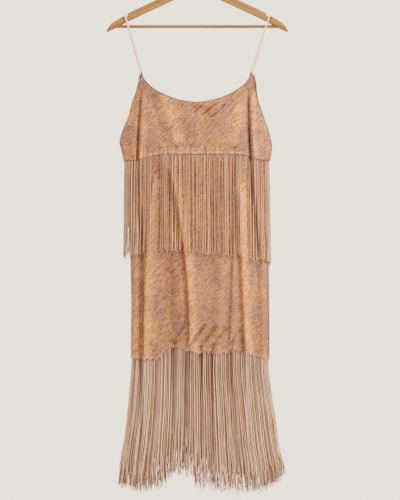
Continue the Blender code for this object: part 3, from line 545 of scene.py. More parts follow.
def crush_depth(side, x, z):
    """The soft slanting crush of the satin: long shallow waves that come and go in patches."""
    run = x * math.cos(CRUSH_TURN) + z * math.sin(CRUSH_TURN) + side * CRUSH_SIDE_SHIFT
    cross = z * math.cos(CRUSH_TURN) - x * math.sin(CRUSH_TURN)
    wander = 1.6 * np.sin(run * WANDER_RATE) + 0.9 * np.sin(run * FINE_WANDER_RATE + cross * 60.0)
    waves = np.sin(cross * CRUSH_RATE + wander)
    waves = waves + 0.6 * np.sin(cross * FINE_CRUSH_RATE - 1.4 * wander + run * 35.0)
    patches = np.sin(run * PATCH_RATE + 2.0 * np.sin(cross * 23.0)) * np.sin(cross * 37.0 + 1.0)
    return CRUSH_RISE * waves * (0.55 + 0.45 * patches)


def body_points(rings, side, share, z):
    """Points of the flattened tube: share runs from its left edge to its right edge."""
    share, z = np.broadcast_arrays(np.asarray(share, float), np.asarray(z, float))
    left = along(rings, "z", z, "left")
    right = along(rings, "z", z, "right")
    depth = along(rings, "z", z, "depth")
    if side == BACK:
        shift = ease((z - ARMHOLE_FLAT_Z) / (APEX_Z - ARMHOLE_FLAT_Z))
        left = left + BACK_APEX_LEFT * shift
        right = right + BACK_APEX_RIGHT * shift
    x = mix(left, right, share)
    across = np.abs(2.0 * share - 1.0)
    open_share = ease((z - UNDERARM_Z) / (APEX_Z - UNDERARM_Z))
    edge = mix(SEAM_HALF_GAP, APEX_HALF_DEPTH, open_share)
    flatness = mix(0.5, 1.0, ease((z - UNDERARM_Z) / (ARMHOLE_FLAT_Z - UNDERARM_Z)))
    crown = np.maximum(1.0 - across ** CROWN_POWER, 0.0) ** flatness
    fade = ease((1.0 - across) / SEAM_FADE)
    inward = (fold_depth(side, x, z) + crush_depth(side, x, z)) * fade
    inward = np.minimum(inward, depth * FOLD_LIMIT)
    y = edge + (depth - edge) * crown - inward * crown ** 0.5
    return np.stack([x, side * y, z], axis=-1)


def layer_points(rings, side, share, z, lift):
    """Body points moved out along the surface, never across the side seam."""
    share, z, lift = np.broadcast_arrays(
        np.asarray(share, float), np.asarray(z, float), np.asarray(lift, float),
    )
    points = body_points(rings, side, share, z)
    low = np.clip(share - NORMAL_SHARE_STEP, 0.0, 1.0)
    high = np.clip(share + NORMAL_SHARE_STEP, 0.0, 1.0)
    across = body_points(rings, side, high, z) - body_points(rings, side, low, z)
    down = body_points(rings, side, share, z - NORMAL_HEIGHT_STEP)
    down = down - body_points(rings, side, share, z + NORMAL_HEIGHT_STEP)
    normal = np.cross(across, down)
    normal /= np.linalg.norm(normal, axis=-1, keepdims=True)
    normal *= np.where(normal[..., 1:2] * side > 0.0, 1.0, -1.0)
    seam = (np.isin(share, (0.0, 1.0)) & (z < UNDERARM_Z))[..., None]
    outward = np.stack([2.0 * share - 1.0, np.zeros_like(share), np.zeros_like(share)], axis=-1)
    normal = np.where(seam, outward, normal)
    points = points + normal * lift[..., None]
    points[..., 1] = side * np.maximum(side * points[..., 1], SEAM_HALF_GAP)
    return points


# The dress is cut from a crinkled satin with a soft rose-gold sheen. Its crush runs slantwise.
# Each fold ridge is painted lighter and golden as painted highlight, and each valley darker as painted
# shade.
CLOTH = 0.0009
SIDE_CROWDING = 0.28
PAINTED_FOLD_LIGHT_DEPTH = 0.0058
PLAIN = (1.0, 1.0, 1.0)
# Paler tint of the bodice's turned-up hem band; on the skirt the same tint is painted light along the hem
# edge, which lies in shade.
TURNED_HEM_AND_HEM_LIGHT_TINT = (1.22, 1.38, 1.75)
BROAD_SCALE = (20.0, 20.0, 13.0)
CRUSH_SCALE = (55.0, 90.0, 300.0)
PUCKER_SCALE = (300.0, 300.0, 520.0)
WEAVE_SCALE = (1500.0, 1500.0, 1500.0)
SATIN_TONES = ((0.32, (0.315, 0.148, 0.092)), (0.50, (0.405, 0.182, 0.088)), (0.70, (0.585, 0.266, 0.060)))
# Painted light: the crush and pucker tones paint highlights on the crinkles' tops and shade in their
# hollows, from the same noise that raises their bumps.
PAINTED_CRUSH_LIGHT_TONES = ((0.36, (0.66, 0.62, 0.66)), (0.50, PLAIN), (0.66, (1.45, 1.34, 1.00)))
PAINTED_PUCKER_GLINT_TONES = ((0.36, (0.58, 0.54, 0.54)), (0.50, PLAIN), (0.63, (1.62, 1.54, 1.30)))
# Painted highlight on fold ridges and painted shade in fold valleys.
PAINTED_FOLD_LIGHT_TONES = ((0.0, (0.73, 0.72, 0.80)), (0.5, (0.92, 0.94, 1.00)), (1.0, (2.05, 1.84, 0.80)))


def tinted(stops, tint):
    """Colour stops with every colour multiplied by a tint."""
    return [(place, tuple(part * share for part, share in zip(colour, tint))) for place, colour in stops]


def stored_value(nodes, name):
    """A value that the piece's own points carry."""
    stored = nodes.new("ShaderNodeAttribute")
    stored.attribute_name = name
    return stored.outputs["Fac"]


def crinkle_cloth(name, tint):
    """Crushed satin: slanting crinkles over a fine weave, with painted highlights, golden, on crinkle tops
    and fold ridges and painted shade, rose, in their hollows and valleys.
    """
    material, nodes, links, shader = shader_of(name)
    broad = noise_at(nodes, links, BROAD_SCALE, 3.0, 0.6)
    crush = noise_at(nodes, links, CRUSH_SCALE, 4.0, 0.62, CRUSH_TURN)
    pucker = noise_at(nodes, links, PUCKER_SCALE, 3.0, 0.65, CRUSH_TURN)
    weave = noise_at(nodes, links, WEAVE_SCALE, 2.0)
    tone = colour_ramp(nodes, links, broad, tinted(SATIN_TONES, tint))
    for factor, stops in (
        (crush, PAINTED_CRUSH_LIGHT_TONES),
        (pucker, PAINTED_PUCKER_GLINT_TONES),
        (stored_value(nodes, "painted_fold_light"), PAINTED_FOLD_LIGHT_TONES),
        (stored_value(nodes, "turned_hem_and_hem_light"), ((0.0, PLAIN), (1.0, TURNED_HEM_AND_HEM_LIGHT_TINT))),
    ):
        tone = multiply_colours(nodes, links, tone, colour_ramp(nodes, links, factor, stops))
    links.new(tone, shader.inputs["Base Color"])
    rise = raise_surface(nodes, links, crush, 0.60, 0.0045)
    rise = raise_surface(nodes, links, pucker, 0.90, 0.0018, rise)
    rise = raise_surface(nodes, links, weave, 0.20, 0.0003, rise)
    links.new(rise, shader.inputs["Normal"])
    set_finish(shader, Metallic=0.70, Roughness=0.36, Sheen_Weight=0.06, Sheen_Roughness=0.5)
    return material


cloth = crinkle_cloth("crinkled satin", PLAIN)
# The rolled neck and armhole edges are painted darker: painted shade beneath the roll.
rolled_satin_painted_shade = crinkle_cloth("rolled satin edge with painted shade", (0.60, 0.60, 0.60))
# The hem roll is painted much paler: painted light over the shade under the hem.
hem_satin_painted_light = crinkle_cloth("satin hem edge with painted light", (1.7, 2.1, 2.9))


def crowded(even):
    """Places across the dress, from even ones, closer at the sides."""
    return even - SIDE_CROWDING * np.sin(2.0 * math.pi * even) / (2.0 * math.pi)


def shares_across(steps):
    """Crowded places all the way from the left seam to the right one."""
    shares = crowded(np.linspace(0.0, 1.0, steps + 1))
    shares[-1] = 1.0
    return shares


def draped_grid(points):
    """A grid of faces whose corners lie at rows of points."""
    bm = bmesh.new()
    bmesh.ops.create_grid(bm, x_segments=points.shape[1] - 1, y_segments=points.shape[0] - 1, size=1.0)
    for vert, point in zip(bm.verts, points.reshape(-1, 3)):
        vert.co = Vector(point)
    return bm


def store_values(piece, name, values):
    """Let each of the piece's own points carry a value."""
    piece.data.attributes.new(name, "FLOAT", "POINT").data.foreach_set("value", values)


def cloth_shell(name, side, columns, heights, lift, material):
    """One cut of cloth as a thin shell: a grid laid on the body surface."""
    share = shares_across(columns)
    points = layer_points(BODY_RINGS, side, share[None, :], heights(side, share), lift)
    bm = draped_grid(points)
    bm.normal_update()
    facing = sum(face.normal.y * face.calc_area() for face in bm.faces)
    if facing * side < 0.0:
        bmesh.ops.reverse_faces(bm, faces=bm.faces[:])
    piece = add_piece(name, finished_mesh(bm, name, turn_out=False), material)
    # Painted light: from how far the folds push each point in, the satin is painted lighter and golden on
    # ridges and darker in valleys.
    pushed_in = fold_depth(side, points[..., 0], points[..., 2]).reshape(-1)
    store_values(piece, "painted_fold_light", 0.5 - 0.5 * np.tanh(pushed_in / PAINTED_FOLD_LIGHT_DEPTH))
    wall = piece.modifiers.new("cloth", "SOLIDIFY")
    wall.thickness = CLOTH
    wall.offset = -1.0
    wall.use_even_offset = False
    return piece


# The bodice is two cuts of the satin with a scooped neck and hollowed armholes. Its hem
# laps over the top of the skirt and the tape of the upper fringe.
BODICE_LIFT = 0.0037
BODICE_HEM = (
    Edge(-0.1800, -0.5250),
    Edge(-0.1400, -0.5200),
    Edge(-0.0900, -0.5090),
    Edge(0.0000, -0.5080),
    Edge(0.1100, -0.5090),
    Edge(0.1400, -0.5190),
    Edge(0.1760, -0.5240),
)
Scoop = namedtuple("Scoop", "centre half_width bottom roundness")
NECK = {
    FRONT: Scoop(-0.0022, 0.1323, -0.3822, 1.7),
    BACK: Scoop(-0.0016, 0.1376, -0.3842, 1.7),
}
BODICE_COLUMNS = 220
BODICE_ROWS = 84
NECK_STEPS = 180
ARMHOLE_POINTS = 40
EDGE_ROUNDS = 10
NECK_ROUNDS = 40
ROLL_RADIUS = 0.0011
ROLL_SIDES = 2
TURNED_HEM = 0.0085
TURNED_HEM_SOFTNESS = 0.0030
TURNED_HEM_HALF = 0.1300
TURNED_HEM_FADE = 0.0200


def edge_heights(edge, side, share):
    """Where columns cross an edge that is drawn across the dress."""
    z = np.full_like(share, edge[len(edge) // 2].z)
    for _ in range(EDGE_ROUNDS):
        z = along(edge, "x", body_points(BODY_RINGS, side, share, z)[..., 0], "z")
    return z


def neck_heights(side, share):
    """Where columns meet the scooped neck, found by halving."""
    scoop = NECK[side]
    low = np.full_like(share, scoop.bottom)
    high = np.full_like(share, APEX_Z)
    for _ in range(NECK_ROUNDS):
        middle = (low + high) / 2.0
        x = body_points(BODY_RINGS, side, share, middle)[..., 0]
        off = np.minimum(np.abs(x - scoop.centre) / scoop.half_width, 1.0)
        rise = 1.0 - (1.0 - off ** scoop.roundness) ** (1.0 / scoop.roundness)
        above = scoop.bottom + (APEX_Z - scoop.bottom) * rise > middle
        low = np.where(above, middle, low)
        high = np.where(above, high, middle)
    high[share == 0.0] = APEX_Z
    high[share == 1.0] = APEX_Z
    return high


def bodice_hem_heights(side, share):
    """The hem line of the bodice."""
    return edge_heights(BODICE_HEM, side, share)


def bodice_heights(side, share):
    """The heights of the bodice's rows in every column."""
    down = np.linspace(0.0, 1.0, BODICE_ROWS + 1)[:, None]
    return mix(neck_heights(side, share)[None, :], bodice_hem_heights(side, share)[None, :], down)


def rolled_edge(name, side, shares, heights, lift, material, radius=ROLL_RADIUS):
    """A fine rolled hem along an edge of cloth, on the same body."""
    points = layer_points(BODY_RINGS, side, shares, heights, lift)
    roll = tube_along(name, [Vector(point) for point in points], radius, ROLL_SIDES, material)
    belongs(roll, "crinkle_cloth")
    return roll


def mark_turned_hem(piece):
    """Mark the double cloth of the turned-up hem, which looks paler, on the piece's own points."""
    spots = np.zeros(len(piece.data.vertices) * 3)
    piece.data.vertices.foreach_get("co", spots)
    spots = spots.reshape(-1, 3)
    over_hem = spots[:, 2] - along(BODICE_HEM, "x", spots[:, 0], "z")
    band = ease((TURNED_HEM - over_hem) / TURNED_HEM_SOFTNESS)
    band = band * ease((TURNED_HEM_HALF - np.abs(spots[:, 0])) / TURNED_HEM_FADE)
    store_values(piece, "turned_hem_and_hem_light", band)


for side, word in ((FRONT, "front"), (BACK, "back")):
    bodice = cloth_shell("satin_bodice_" + word, side, BODICE_COLUMNS, bodice_heights, BODICE_LIFT, cloth)
    mark_turned_hem(bodice)
    belongs(bodice, "crinkle_cloth", "bodice_" + word)
    across = shares_across(NECK_STEPS)
    hole_line = np.linspace(UNDERARM_Z, APEX_Z, ARMHOLE_POINTS)
    for roll_name, shares, heights in (
        ("neck_roll_", across, neck_heights(side, across)),
        ("left_armhole_roll_", np.zeros(ARMHOLE_POINTS), hole_line),
        ("right_armhole_roll_", np.ones(ARMHOLE_POINTS), hole_line),
    ):
        roll_lift = BODICE_LIFT - CLOTH / 2
        rolled_edge(roll_name + word, side, shares, heights, roll_lift, rolled_satin_painted_shade)


# The skirt is two straight cuts of the satin, tucked under the bodice hem and closed at the
# side seams. Its hem is drawn up into uneven points by its stitches.
SKIRT_HEM = (
    Edge(-0.1650, -0.9975),
    Edge(-0.1240, -0.9995),
    Edge(-0.0940, -0.9985),
    Edge(-0.0810, -0.9870),
    Edge(-0.0640, -0.9735),
    Edge(-0.0295, -0.9744),
    Edge(0.0068, -0.9860),
    Edge(0.0310, -0.9804),
    Edge(0.0455, -0.9877),
    Edge(0.0794, -0.9804),
    Edge(0.1157, -0.9828),
    Edge(0.1430, -0.9935),
    Edge(0.1745, -1.0020),
)
SKIRT_COLUMNS = 240
SKIRT_ROWS = 130
SKIRT_TUCK = 0.010
HEM_STEPS = 360
HEM_TEETH = 26
HEM_TOOTH_DEPTH = 0.0092
HEM_PAINTED_LIGHT_ROWS = 2.5
HEM_ROLL_RADIUS = 0.0008


def skirt_hem_heights(side, share):
    """The hem line, drawn up into uneven points by its stitches."""
    drift = 0.9 * np.sin(9.0 * share + side) + 0.5 * np.sin(23.0 * share)
    tooth = np.abs(2.0 * ((HEM_TEETH * share + drift) % 1.0) - 1.0)
    uneven = 0.68 + 0.32 * np.sin(41.0 * share + 2.0 * side)
    return edge_heights(SKIRT_HEM, side, share) + HEM_TOOTH_DEPTH * uneven * (0.5 - tooth)


def skirt_heights(side, share):
    """The heights of the skirt's rows in every column."""
    down = np.linspace(0.0, 1.0, SKIRT_ROWS + 1)[:, None]
    top = bodice_hem_heights(side, share) + SKIRT_TUCK
    return mix(top[None, :], skirt_hem_heights(side, share)[None, :], down)


skirts = {}
for side, word in ((FRONT, "front"), (BACK, "back")):
    skirt = cloth_shell("satin_skirt_" + word, side, SKIRT_COLUMNS, skirt_heights, 0.0, cloth)
    # The skirt's bottom rows are painted paler and golden: painted light along the hem edge, which lies in
    # shade.
    rows_up = SKIRT_ROWS - np.arange(len(skirt.data.vertices)) // (SKIRT_COLUMNS + 1)
    store_values(skirt, "turned_hem_and_hem_light", ease(1.0 - rows_up / HEM_PAINTED_LIGHT_ROWS))
    belongs(skirt, "crinkle_cloth", "skirt_" + word)
    across = shares_across(HEM_STEPS)
    hem_roll = rolled_edge(
        "hem_roll_" + word, side, across, skirt_hem_heights(side, across), -CLOTH / 2, hem_satin_painted_light,
        HEM_ROLL_RADIUS,
    )
    skirts[word] = (skirt, hem_roll)


# The fringes are soft twisted rayon, looped into a narrow tape. The upper one hangs from the
# bodice hem over the skirt. The lower one hangs from inside the skirt hem and spreads a little.
UPPER_FRINGE_RINGS = (
    Ring(-0.5327, -0.1762, 0.1738, 0.0290),
    Ring(-0.6500, -0.1764, 0.1755, 0.0345),
    Ring(-0.7900, -0.1785, 0.1780, 0.0375),
)
LOWER_FRINGE_RINGS = (
    Ring(-0.9700, -0.1578, 0.1718, 0.0345),
    Ring(-1.0200, -0.1596, 0.1728, 0.0345),
    Ring(-1.0530, -0.1626, 0.1762, 0.0345),
    Ring(-1.1014, -0.1665, 0.1834, 0.0355),
    Ring(-1.1498, -0.1713, 0.1897, 0.0370),
    Ring(-1.1982, -0.1781, 0.1965, 0.0385),
    Ring(-1.2466, -0.1859, 0.2062, 0.0410),
    Ring(-1.3200, -0.1900, 0.2150, 0.0440),
)
UPPER_FRINGE_ENDS = (
    Edge(-0.1780, -0.7577),
    Edge(-0.1280, -0.7529),
    Edge(-0.0707, -0.7480),
    Edge(0.0068, -0.7529),
    Edge(0.1060, -0.7626),
    Edge(0.1450, -0.7723),
    Edge(0.1730, -0.7771),
)
LOWER_FRINGE_ENDS = (
    Edge(-0.1883, -1.3047),
    Edge(-0.1287, -1.3168),
    Edge(-0.0780, -1.2998),
    Edge(-0.0600, -1.2817),
    Edge(-0.0150, -1.2830),
    Edge(0.0010, -1.3071),
    Edge(0.1447, -1.3192),
    Edge(0.1980, -1.2950),
    Edge(0.2130, -1.2756),
)
STRAND_CORNERS = 6
SIDE_ROOTS = (0.0006, 0.006, 0.011, 0.017)
ROOT_MARGIN = 0.0001
LOOP_ROWS = 5
LOOP_GAP = (0.008, 0.020)
LEAVING = 0.12
CURL_START = 0.72
CLOSED_END = 0.02
END_SHARE = 0.50
FREE_END_CUTS = (0.995, 1.0)
TAPE_COLUMNS = 160
TAPE_HALF = 0.0006
THIN_Z = -0.65
Tape = namedtuple("Tape", "top bottom lift")
Thin = namedtuple("Thin", "low high kept")
Layer = namedtuple("Layer", "count looped lift thickness drift curl shorter darkest brightest")
Fringe = namedtuple(
    "Fringe",
    "word hem rings cut_line low_z tape rise cuts layers thin "
    "spacing cut_spread lift_spread tip_gain root_loss",
)
UPPER_FRINGE = Fringe(
    word="upper",
    hem=bodice_hem_heights,
    rings=UPPER_FRINGE_RINGS,
    cut_line=UPPER_FRINGE_ENDS,
    low_z=-0.75,
    tape=Tape(0.0090, -0.0010, 0.0015),
    rise=0.003,
    cuts=(0.0, 0.01, 0.08, 0.18, 0.30, 0.42, 0.54, 0.66, 0.78, 0.88, 0.95),
    layers=(
        Layer(52, True, 0.0009, 0.00062, 0.0028, 0.0, 0.0, 0.40, 1.0),
        # The single strands hang behind the loops and are darker: painted shade between the strands.
        Layer(73, False, -0.0007, 0.00062, 0.0040, 0.0015, 0.0, 0.0, 0.32),
    ),
    thin={
        FRONT: (Thin(-0.1080, -0.0940, 0.10), Thin(-0.0940, -0.0640, 0.55), Thin(0.1040, 0.1230, 0.25)),
        BACK: (),
    },
    spacing=0.5,
    cut_spread=0.0028,
    lift_spread=0.0003,
    tip_gain=0.0,
    root_loss=0.0,
)
LOWER_FRINGE = Fringe(
    word="lower",
    hem=skirt_hem_heights,
    rings=LOWER_FRINGE_RINGS,
    cut_line=LOWER_FRINGE_ENDS,
    low_z=-1.30,
    tape=Tape(0.0130, 0.0050, -0.0027),
    rise=0.008,
    cuts=(0.0, 0.01, 0.06, 0.14, 0.24, 0.34, 0.45, 0.56, 0.67, 0.77, 0.86, 0.93, 0.97),
    layers=(
        Layer(84, False, -0.0004, 0.00084, 0.0064, 0.0036, 0.0, 0.45, 1.20),
        # The inner layers are darker, the innermost darkest: painted shade among the strands.
        Layer(181, False, -0.0014, 0.00074, 0.0056, 0.0036, 0.0, 0.0, 0.65),
        Layer(307, False, -0.0026, 0.00112, 0.0020, 0.0036, 0.006, 0.0, 0.20),
    ),
    thin=None,
    spacing=0.4,
    cut_spread=0.0046,
    lift_spread=0.0005,
    tip_gain=0.28,
    root_loss=0.30,
)
STRAND_TONES = ((0.0, (0.15, 0.060, 0.035)), (0.45, (0.40, 0.187, 0.108)), (1.0, (1.0, 0.600, 0.340)))
LENGTH_TONES = ((0.3, (0.82, 0.80, 0.79)), (0.7, (1.12, 1.10, 1.08)))
LENGTH_SCALE = (60.0, 60.0, 22.0)
TWIST_SCALE = (2500.0, 2500.0, 1100.0)


def fringe_yarn(name, tint):
    """Twisted rayon: each strand a little lighter or darker, with a fine twist."""
    material, nodes, links, shader = shader_of(name)
    length = noise_at(nodes, links, LENGTH_SCALE, 3.0, 0.6)
    twist = noise_at(nodes, links, TWIST_SCALE, 1.0, turn=0.6)
    tone = colour_ramp(nodes, links, stored_value(nodes, "strand_tone"), tinted(STRAND_TONES, tint))
    shade = colour_ramp(nodes, links, length, LENGTH_TONES)
    links.new(multiply_colours(nodes, links, tone, shade), shader.inputs["Base Color"])
    links.new(raise_surface(nodes, links, twist, 0.35, 0.0004), shader.inputs["Normal"])
    set_finish(shader, Roughness=0.5, Sheen_Weight=0.12, Sheen_Roughness=0.4)
    return material


yarns = {
    "upper": fringe_yarn("upper rayon fringe", PLAIN),
    "lower": fringe_yarn("lower rayon fringe", (0.93, 1.01, 1.16)),
}


def thinned(roots, side, fringe, rng):
    """Roots left after some are dropped where the fringe hangs thinner."""
    x = body_points(fringe.rings, side, roots, THIN_Z)[..., 0]
    kept = np.ones(len(roots))
    for part in fringe.thin[side]:
        kept = np.where((x > part.low) & (x < part.high), part.kept, kept)
    return roots[rng.uniform(0.0, 1.0, len(roots)) < kept]


def spread_roots(count, evenness, rng):
    """Places of roots along the tape: spaced one by one, and closer where the sides turn edge-on."""
    roots = crowded((np.arange(count) + 0.5 + rng.uniform(-0.5, 0.5, count) * evenness) / count)
    return np.sort(np.concatenate([roots, SIDE_ROOTS, 1.0 - np.array(SIDE_ROOTS)]))


def swept_strands(bm, fringe, layer, middle, radius, rng):
    """Round strands from their centre lines, in one grid: each is a few columns, closed up."""
    rows, count = radius.shape
    tones = rng.uniform(layer.darkest, layer.brightest, count)
    angle = 2.0 * math.pi * (np.arange(STRAND_CORNERS) % (STRAND_CORNERS - 1)) / (STRAND_CORNERS - 1)
    run = np.gradient(middle, axis=0)
    run /= np.linalg.norm(run, axis=-1, keepdims=True)
    wide = np.cross((0.0, 1.0, 0.0), run)
    wide /= np.linalg.norm(wide, axis=-1, keepdims=True)
    deep = np.cross(run, wide)
    around = wide[:, :, None, :] * np.cos(angle)[:, None] + deep[:, :, None, :] * np.sin(angle)[:, None]
    points = middle[:, :, None, :] + radius[:, :, None, None] * around
    columns = count * STRAND_CORNERS
    strands = draped_grid(points.reshape(rows, columns, 3))
    strands.verts.index_update()
    tone_layer = strands.verts.layers.float.new("strand_tone")
    for vert in strands.verts:
        run_share = vert.index // columns / (rows - 1)
        # Painted light and shade along each strand: darker near the root as painted shade under the hem,
        # paler near the tip as painted light over the shade among the curled ends.
        painted_length_light = fringe.tip_gain * run_share ** 3 - fringe.root_loss * (1.0 - run_share) ** 5
        vert[tone_layer] = tones[(vert.index % columns) // STRAND_CORNERS] + painted_length_light
    bridges = []
    for face in strands.faces:
        if len({(vert.index % columns) // STRAND_CORNERS for vert in face.verts}) > 1:
            bridges.append(face)
    bmesh.ops.delete(strands, geom=bridges, context="FACES")
    bmesh.ops.remove_doubles(strands, verts=strands.verts[:], dist=2e-5)
    bm.from_mesh(finished_mesh(strands, "strands"))


def woven_tape(bm, fringe, side):
    """The narrow closed tape that a fringe's strands are looped into."""
    share = shares_across(TAPE_COLUMNS)
    hem = fringe.hem(side, share)
    rows = np.stack([hem + fringe.tape.top, hem + fringe.tape.bottom])
    inner_points = layer_points(BODY_RINGS, side, share[None, :], rows, fringe.tape.lift - TAPE_HALF)
    outer_points = layer_points(BODY_RINGS, side, share[None, :], rows, fringe.tape.lift + TAPE_HALF)
    tape = bmesh.new()
    bmesh.ops.create_grid(tape, x_segments=TAPE_COLUMNS, y_segments=1, size=1.0)
    tape.verts.index_update()
    for vert in tape.verts:
        vert.co = Vector((vert.index % (TAPE_COLUMNS + 1), vert.index // (TAPE_COLUMNS + 1), 0.0))
    inner = set(new_points(bmesh.ops.extrude_face_region(tape, geom=tape.faces[:])))
    for vert in tape.verts:
        points = inner_points if vert in inner else outer_points
        vert.co = Vector(points[round(vert.co.y), round(vert.co.x)])
    bm.from_mesh(finished_mesh(tape, "tape"))


def strand_lines(fringe, layer, side, roots, top, ends, lifts, cuts, rng):
    """Centre lines of single strands from the tape to their ends, rows by strands."""
    count = len(roots)
    sway = rng.normal(0.0, layer.drift, count)[None, :]
    bend = rng.uniform(0.0, 2.0 * math.pi, count)[None, :]
    cut = np.asarray(cuts)[:, None]
    z = mix(top[None, :], ends[None, :], cut)
    wander = sway * cut ** 1.8 + layer.drift * 0.30 * np.sin(bend + cut * 6.0) * cut
    share = np.clip(roots[None, :] + wander, ROOT_MARGIN, 1.0 - ROOT_MARGIN)
    hung = layer_points(fringe.rings, side, share, z, lifts[None, :])
    sewn = layer_points(BODY_RINGS, side, share, z, fringe.tape.lift)
    middle = mix(sewn, hung, ease(cut / LEAVING)[..., None])
    middle[..., 0] += layer.drift * 0.25 * np.sin(bend * 3.0 + cut * 17.0) * cut ** 2
    curling = ease((cut - CURL_START) / (1.0 - CURL_START)) ** 2
    middle[..., 0] += rng.normal(0.0, layer.curl, count)[None, :] * curling
    middle[..., 1] += rng.normal(0.0, layer.curl * 0.5, count)[None, :] * curling
    return middle


def single_strands(bm, fringe, layer, side, roots, top, ends, lifts, rng):
    """Strands that end singly, a little uneven and thinner towards their closed ends."""
    cuts = fringe.cuts + FREE_END_CUTS
    middle = strand_lines(fringe, layer, side, roots, top, ends, lifts, cuts, rng)
    fat = rng.uniform(0.78, 1.22, len(roots))[None, :]
    cut = np.asarray(cuts)[:, None]
    taper = np.where((cut == 0.0) | (cut == 1.0), CLOSED_END, mix(1.0, END_SHARE, cut ** 4))
    swept_strands(bm, fringe, layer, middle, layer.thickness * fat * taper, rng)


def looped_strands(bm, fringe, layer, side, roots, top, ends, lifts, rng):
    """Strands in pairs, joined into small round loops at their ends."""
    half_gap = rng.uniform(LOOP_GAP[0], LOOP_GAP[1], len(roots)) / 2.0
    legs = np.stack([roots - half_gap, roots + half_gap], axis=1).reshape(-1)
    legs = np.clip(legs, ROOT_MARGIN, 1.0 - ROOT_MARGIN)
    top, ends, lifts = (np.repeat(values, 2) for values in (top, ends, lifts))
    lines = strand_lines(fringe, layer, side, legs, top, ends, lifts, fringe.cuts, rng)
    left = lines[:, 0::2, :]
    right = lines[:, 1::2, :]
    turn = np.linspace(0.0, math.pi, LOOP_ROWS + 2)[1:-1][:, None, None]
    centre = (left[-1] + right[-1])[None] / 2.0
    reach = (right[-1] - left[-1])[None] / 2.0
    drop = np.linalg.norm(reach, axis=-1, keepdims=True) * np.array([0.0, 0.0, -1.0])
    loop = centre - reach * np.cos(turn) + drop * np.sin(turn)
    middle = np.concatenate([left, loop, right[::-1]])
    fat = rng.uniform(0.85, 1.2, middle.shape[1])[None, :]
    radius = np.full(middle.shape[:2], layer.thickness) * fat
    radius[[0, -1]] *= CLOSED_END
    swept_strands(bm, fringe, layer, middle, radius, rng)


def hang_layer(bm, fringe, layer, side, rng):
    """One layer of a fringe's strands, from their roots in the tape."""
    roots = spread_roots(layer.count, fringe.spacing, rng)
    if fringe.thin is not None:
        roots = thinned(roots, side, fringe, rng)
    top = fringe.hem(side, roots) + fringe.rise
    hang_x = body_points(fringe.rings, side, roots, fringe.low_z)[..., 0]
    ends = along(fringe.cut_line, "x", hang_x, "z")
    ends = ends + rng.normal(layer.shorter, fringe.cut_spread, len(roots))
    lifts = layer.lift + rng.uniform(-fringe.lift_spread, fringe.lift_spread, len(roots))
    strands = looped_strands if layer.looped else single_strands
    strands(bm, fringe, layer, side, roots, top, ends, lifts, rng)


for side, word in ((FRONT, "front"), (BACK, "back")):
    rng = np.random.default_rng(11 if side == FRONT else 12)
    skirt, hem_roll = skirts[word]
    for fringe in (UPPER_FRINGE, LOWER_FRINGE):
        bm = bmesh.new()
        bm.verts.layers.float.new("strand_tone")
        woven_tape(bm, fringe, side)
        for layer in fringe.layers:
            hang_layer(bm, fringe, layer, side, rng)
        name = fringe.word + "_rayon_fringe_" + word
        piece = add_piece(name, finished_mesh(bm, name), yarns[fringe.word])
        belongs(piece, "fringe_yarn", fringe.word + "_fringe_" + word)


# The straps are thin round cord of the same pale satin. Each runs from the front strap point
# over the notch and down to the back one, where it is sewn inside the bodice.
STRAP_RADIUS = 0.0021
STRAP_TUCK = 0.0070
STRAP_CLEARANCE = 0.0003
BODICE_INNER_LIFT = 0.0025
NOTCH_FLOOR_Z = -0.1738
STRAP_HALF_DEPTH = APEX_HALF_DEPTH + BODICE_INNER_LIFT - STRAP_CLEARANCE - STRAP_RADIUS
STRAP_NOTCH_HALF_DEPTH = HANGER_THICKNESS / 2 - NOTCH_FACE_DEPTH + STRAP_CLEARANCE + STRAP_RADIUS
STRAP_TOP_Z = NOTCH_FLOOR_Z + STRAP_CLEARANCE + STRAP_RADIUS
STRAP_CORNER = 0.0022
STRAP_NOTCH_X = 0.1718
STRAP_NOTCH_DROP = 0.0100
HALFWAY_NEARING = 0.4
BEND_NEARING = 0.9
STRAP_STEPS = 10
STRAP_SIDES = 5
PLY_SCALE = (900.0, 900.0, 700.0)
PLY_TONES = ((0.3, (1.0, 0.60, 0.34)), (0.7, (1.0, 0.76, 0.52)))
StrapSide = namedtuple("StrapSide", "side front_x back_x bend_x bend_z top_x")
STRAPS = (
    StrapSide("left", -0.1336, -0.1378, -0.1652, -0.2036, -0.1737),
    StrapSide("right", 0.1292, 0.1352, 0.1640, -0.2036, 0.1737),
)


def strap_leg(strap, foot_x, depth_side):
    """Half a strap, from its sewn end inside the bodice up to the top of its notch."""
    hand = 1.0 if strap.top_x > 0.0 else -1.0
    foot_y = depth_side * STRAP_HALF_DEPTH
    notch_y = depth_side * STRAP_NOTCH_HALF_DEPTH
    lean = (strap.bend_x - foot_x) / (strap.bend_z - APEX_Z)
    inset = 1.0 - STRAP_CORNER / STRAP_NOTCH_HALF_DEPTH
    return [
        (foot_x - lean * STRAP_TUCK, foot_y, APEX_Z - STRAP_TUCK),
        (foot_x, foot_y, APEX_Z),
        (
            mix(foot_x, strap.bend_x, 0.5),
            mix(foot_y, notch_y, HALFWAY_NEARING),
            mix(APEX_Z, strap.bend_z, 0.5),
        ),
        (strap.bend_x, mix(foot_y, notch_y, BEND_NEARING), strap.bend_z),
        (hand * STRAP_NOTCH_X, notch_y, STRAP_TOP_Z - STRAP_NOTCH_DROP),
        (strap.top_x, notch_y, STRAP_TOP_Z - STRAP_CORNER),
        (strap.top_x, notch_y * inset, STRAP_TOP_Z),
    ]


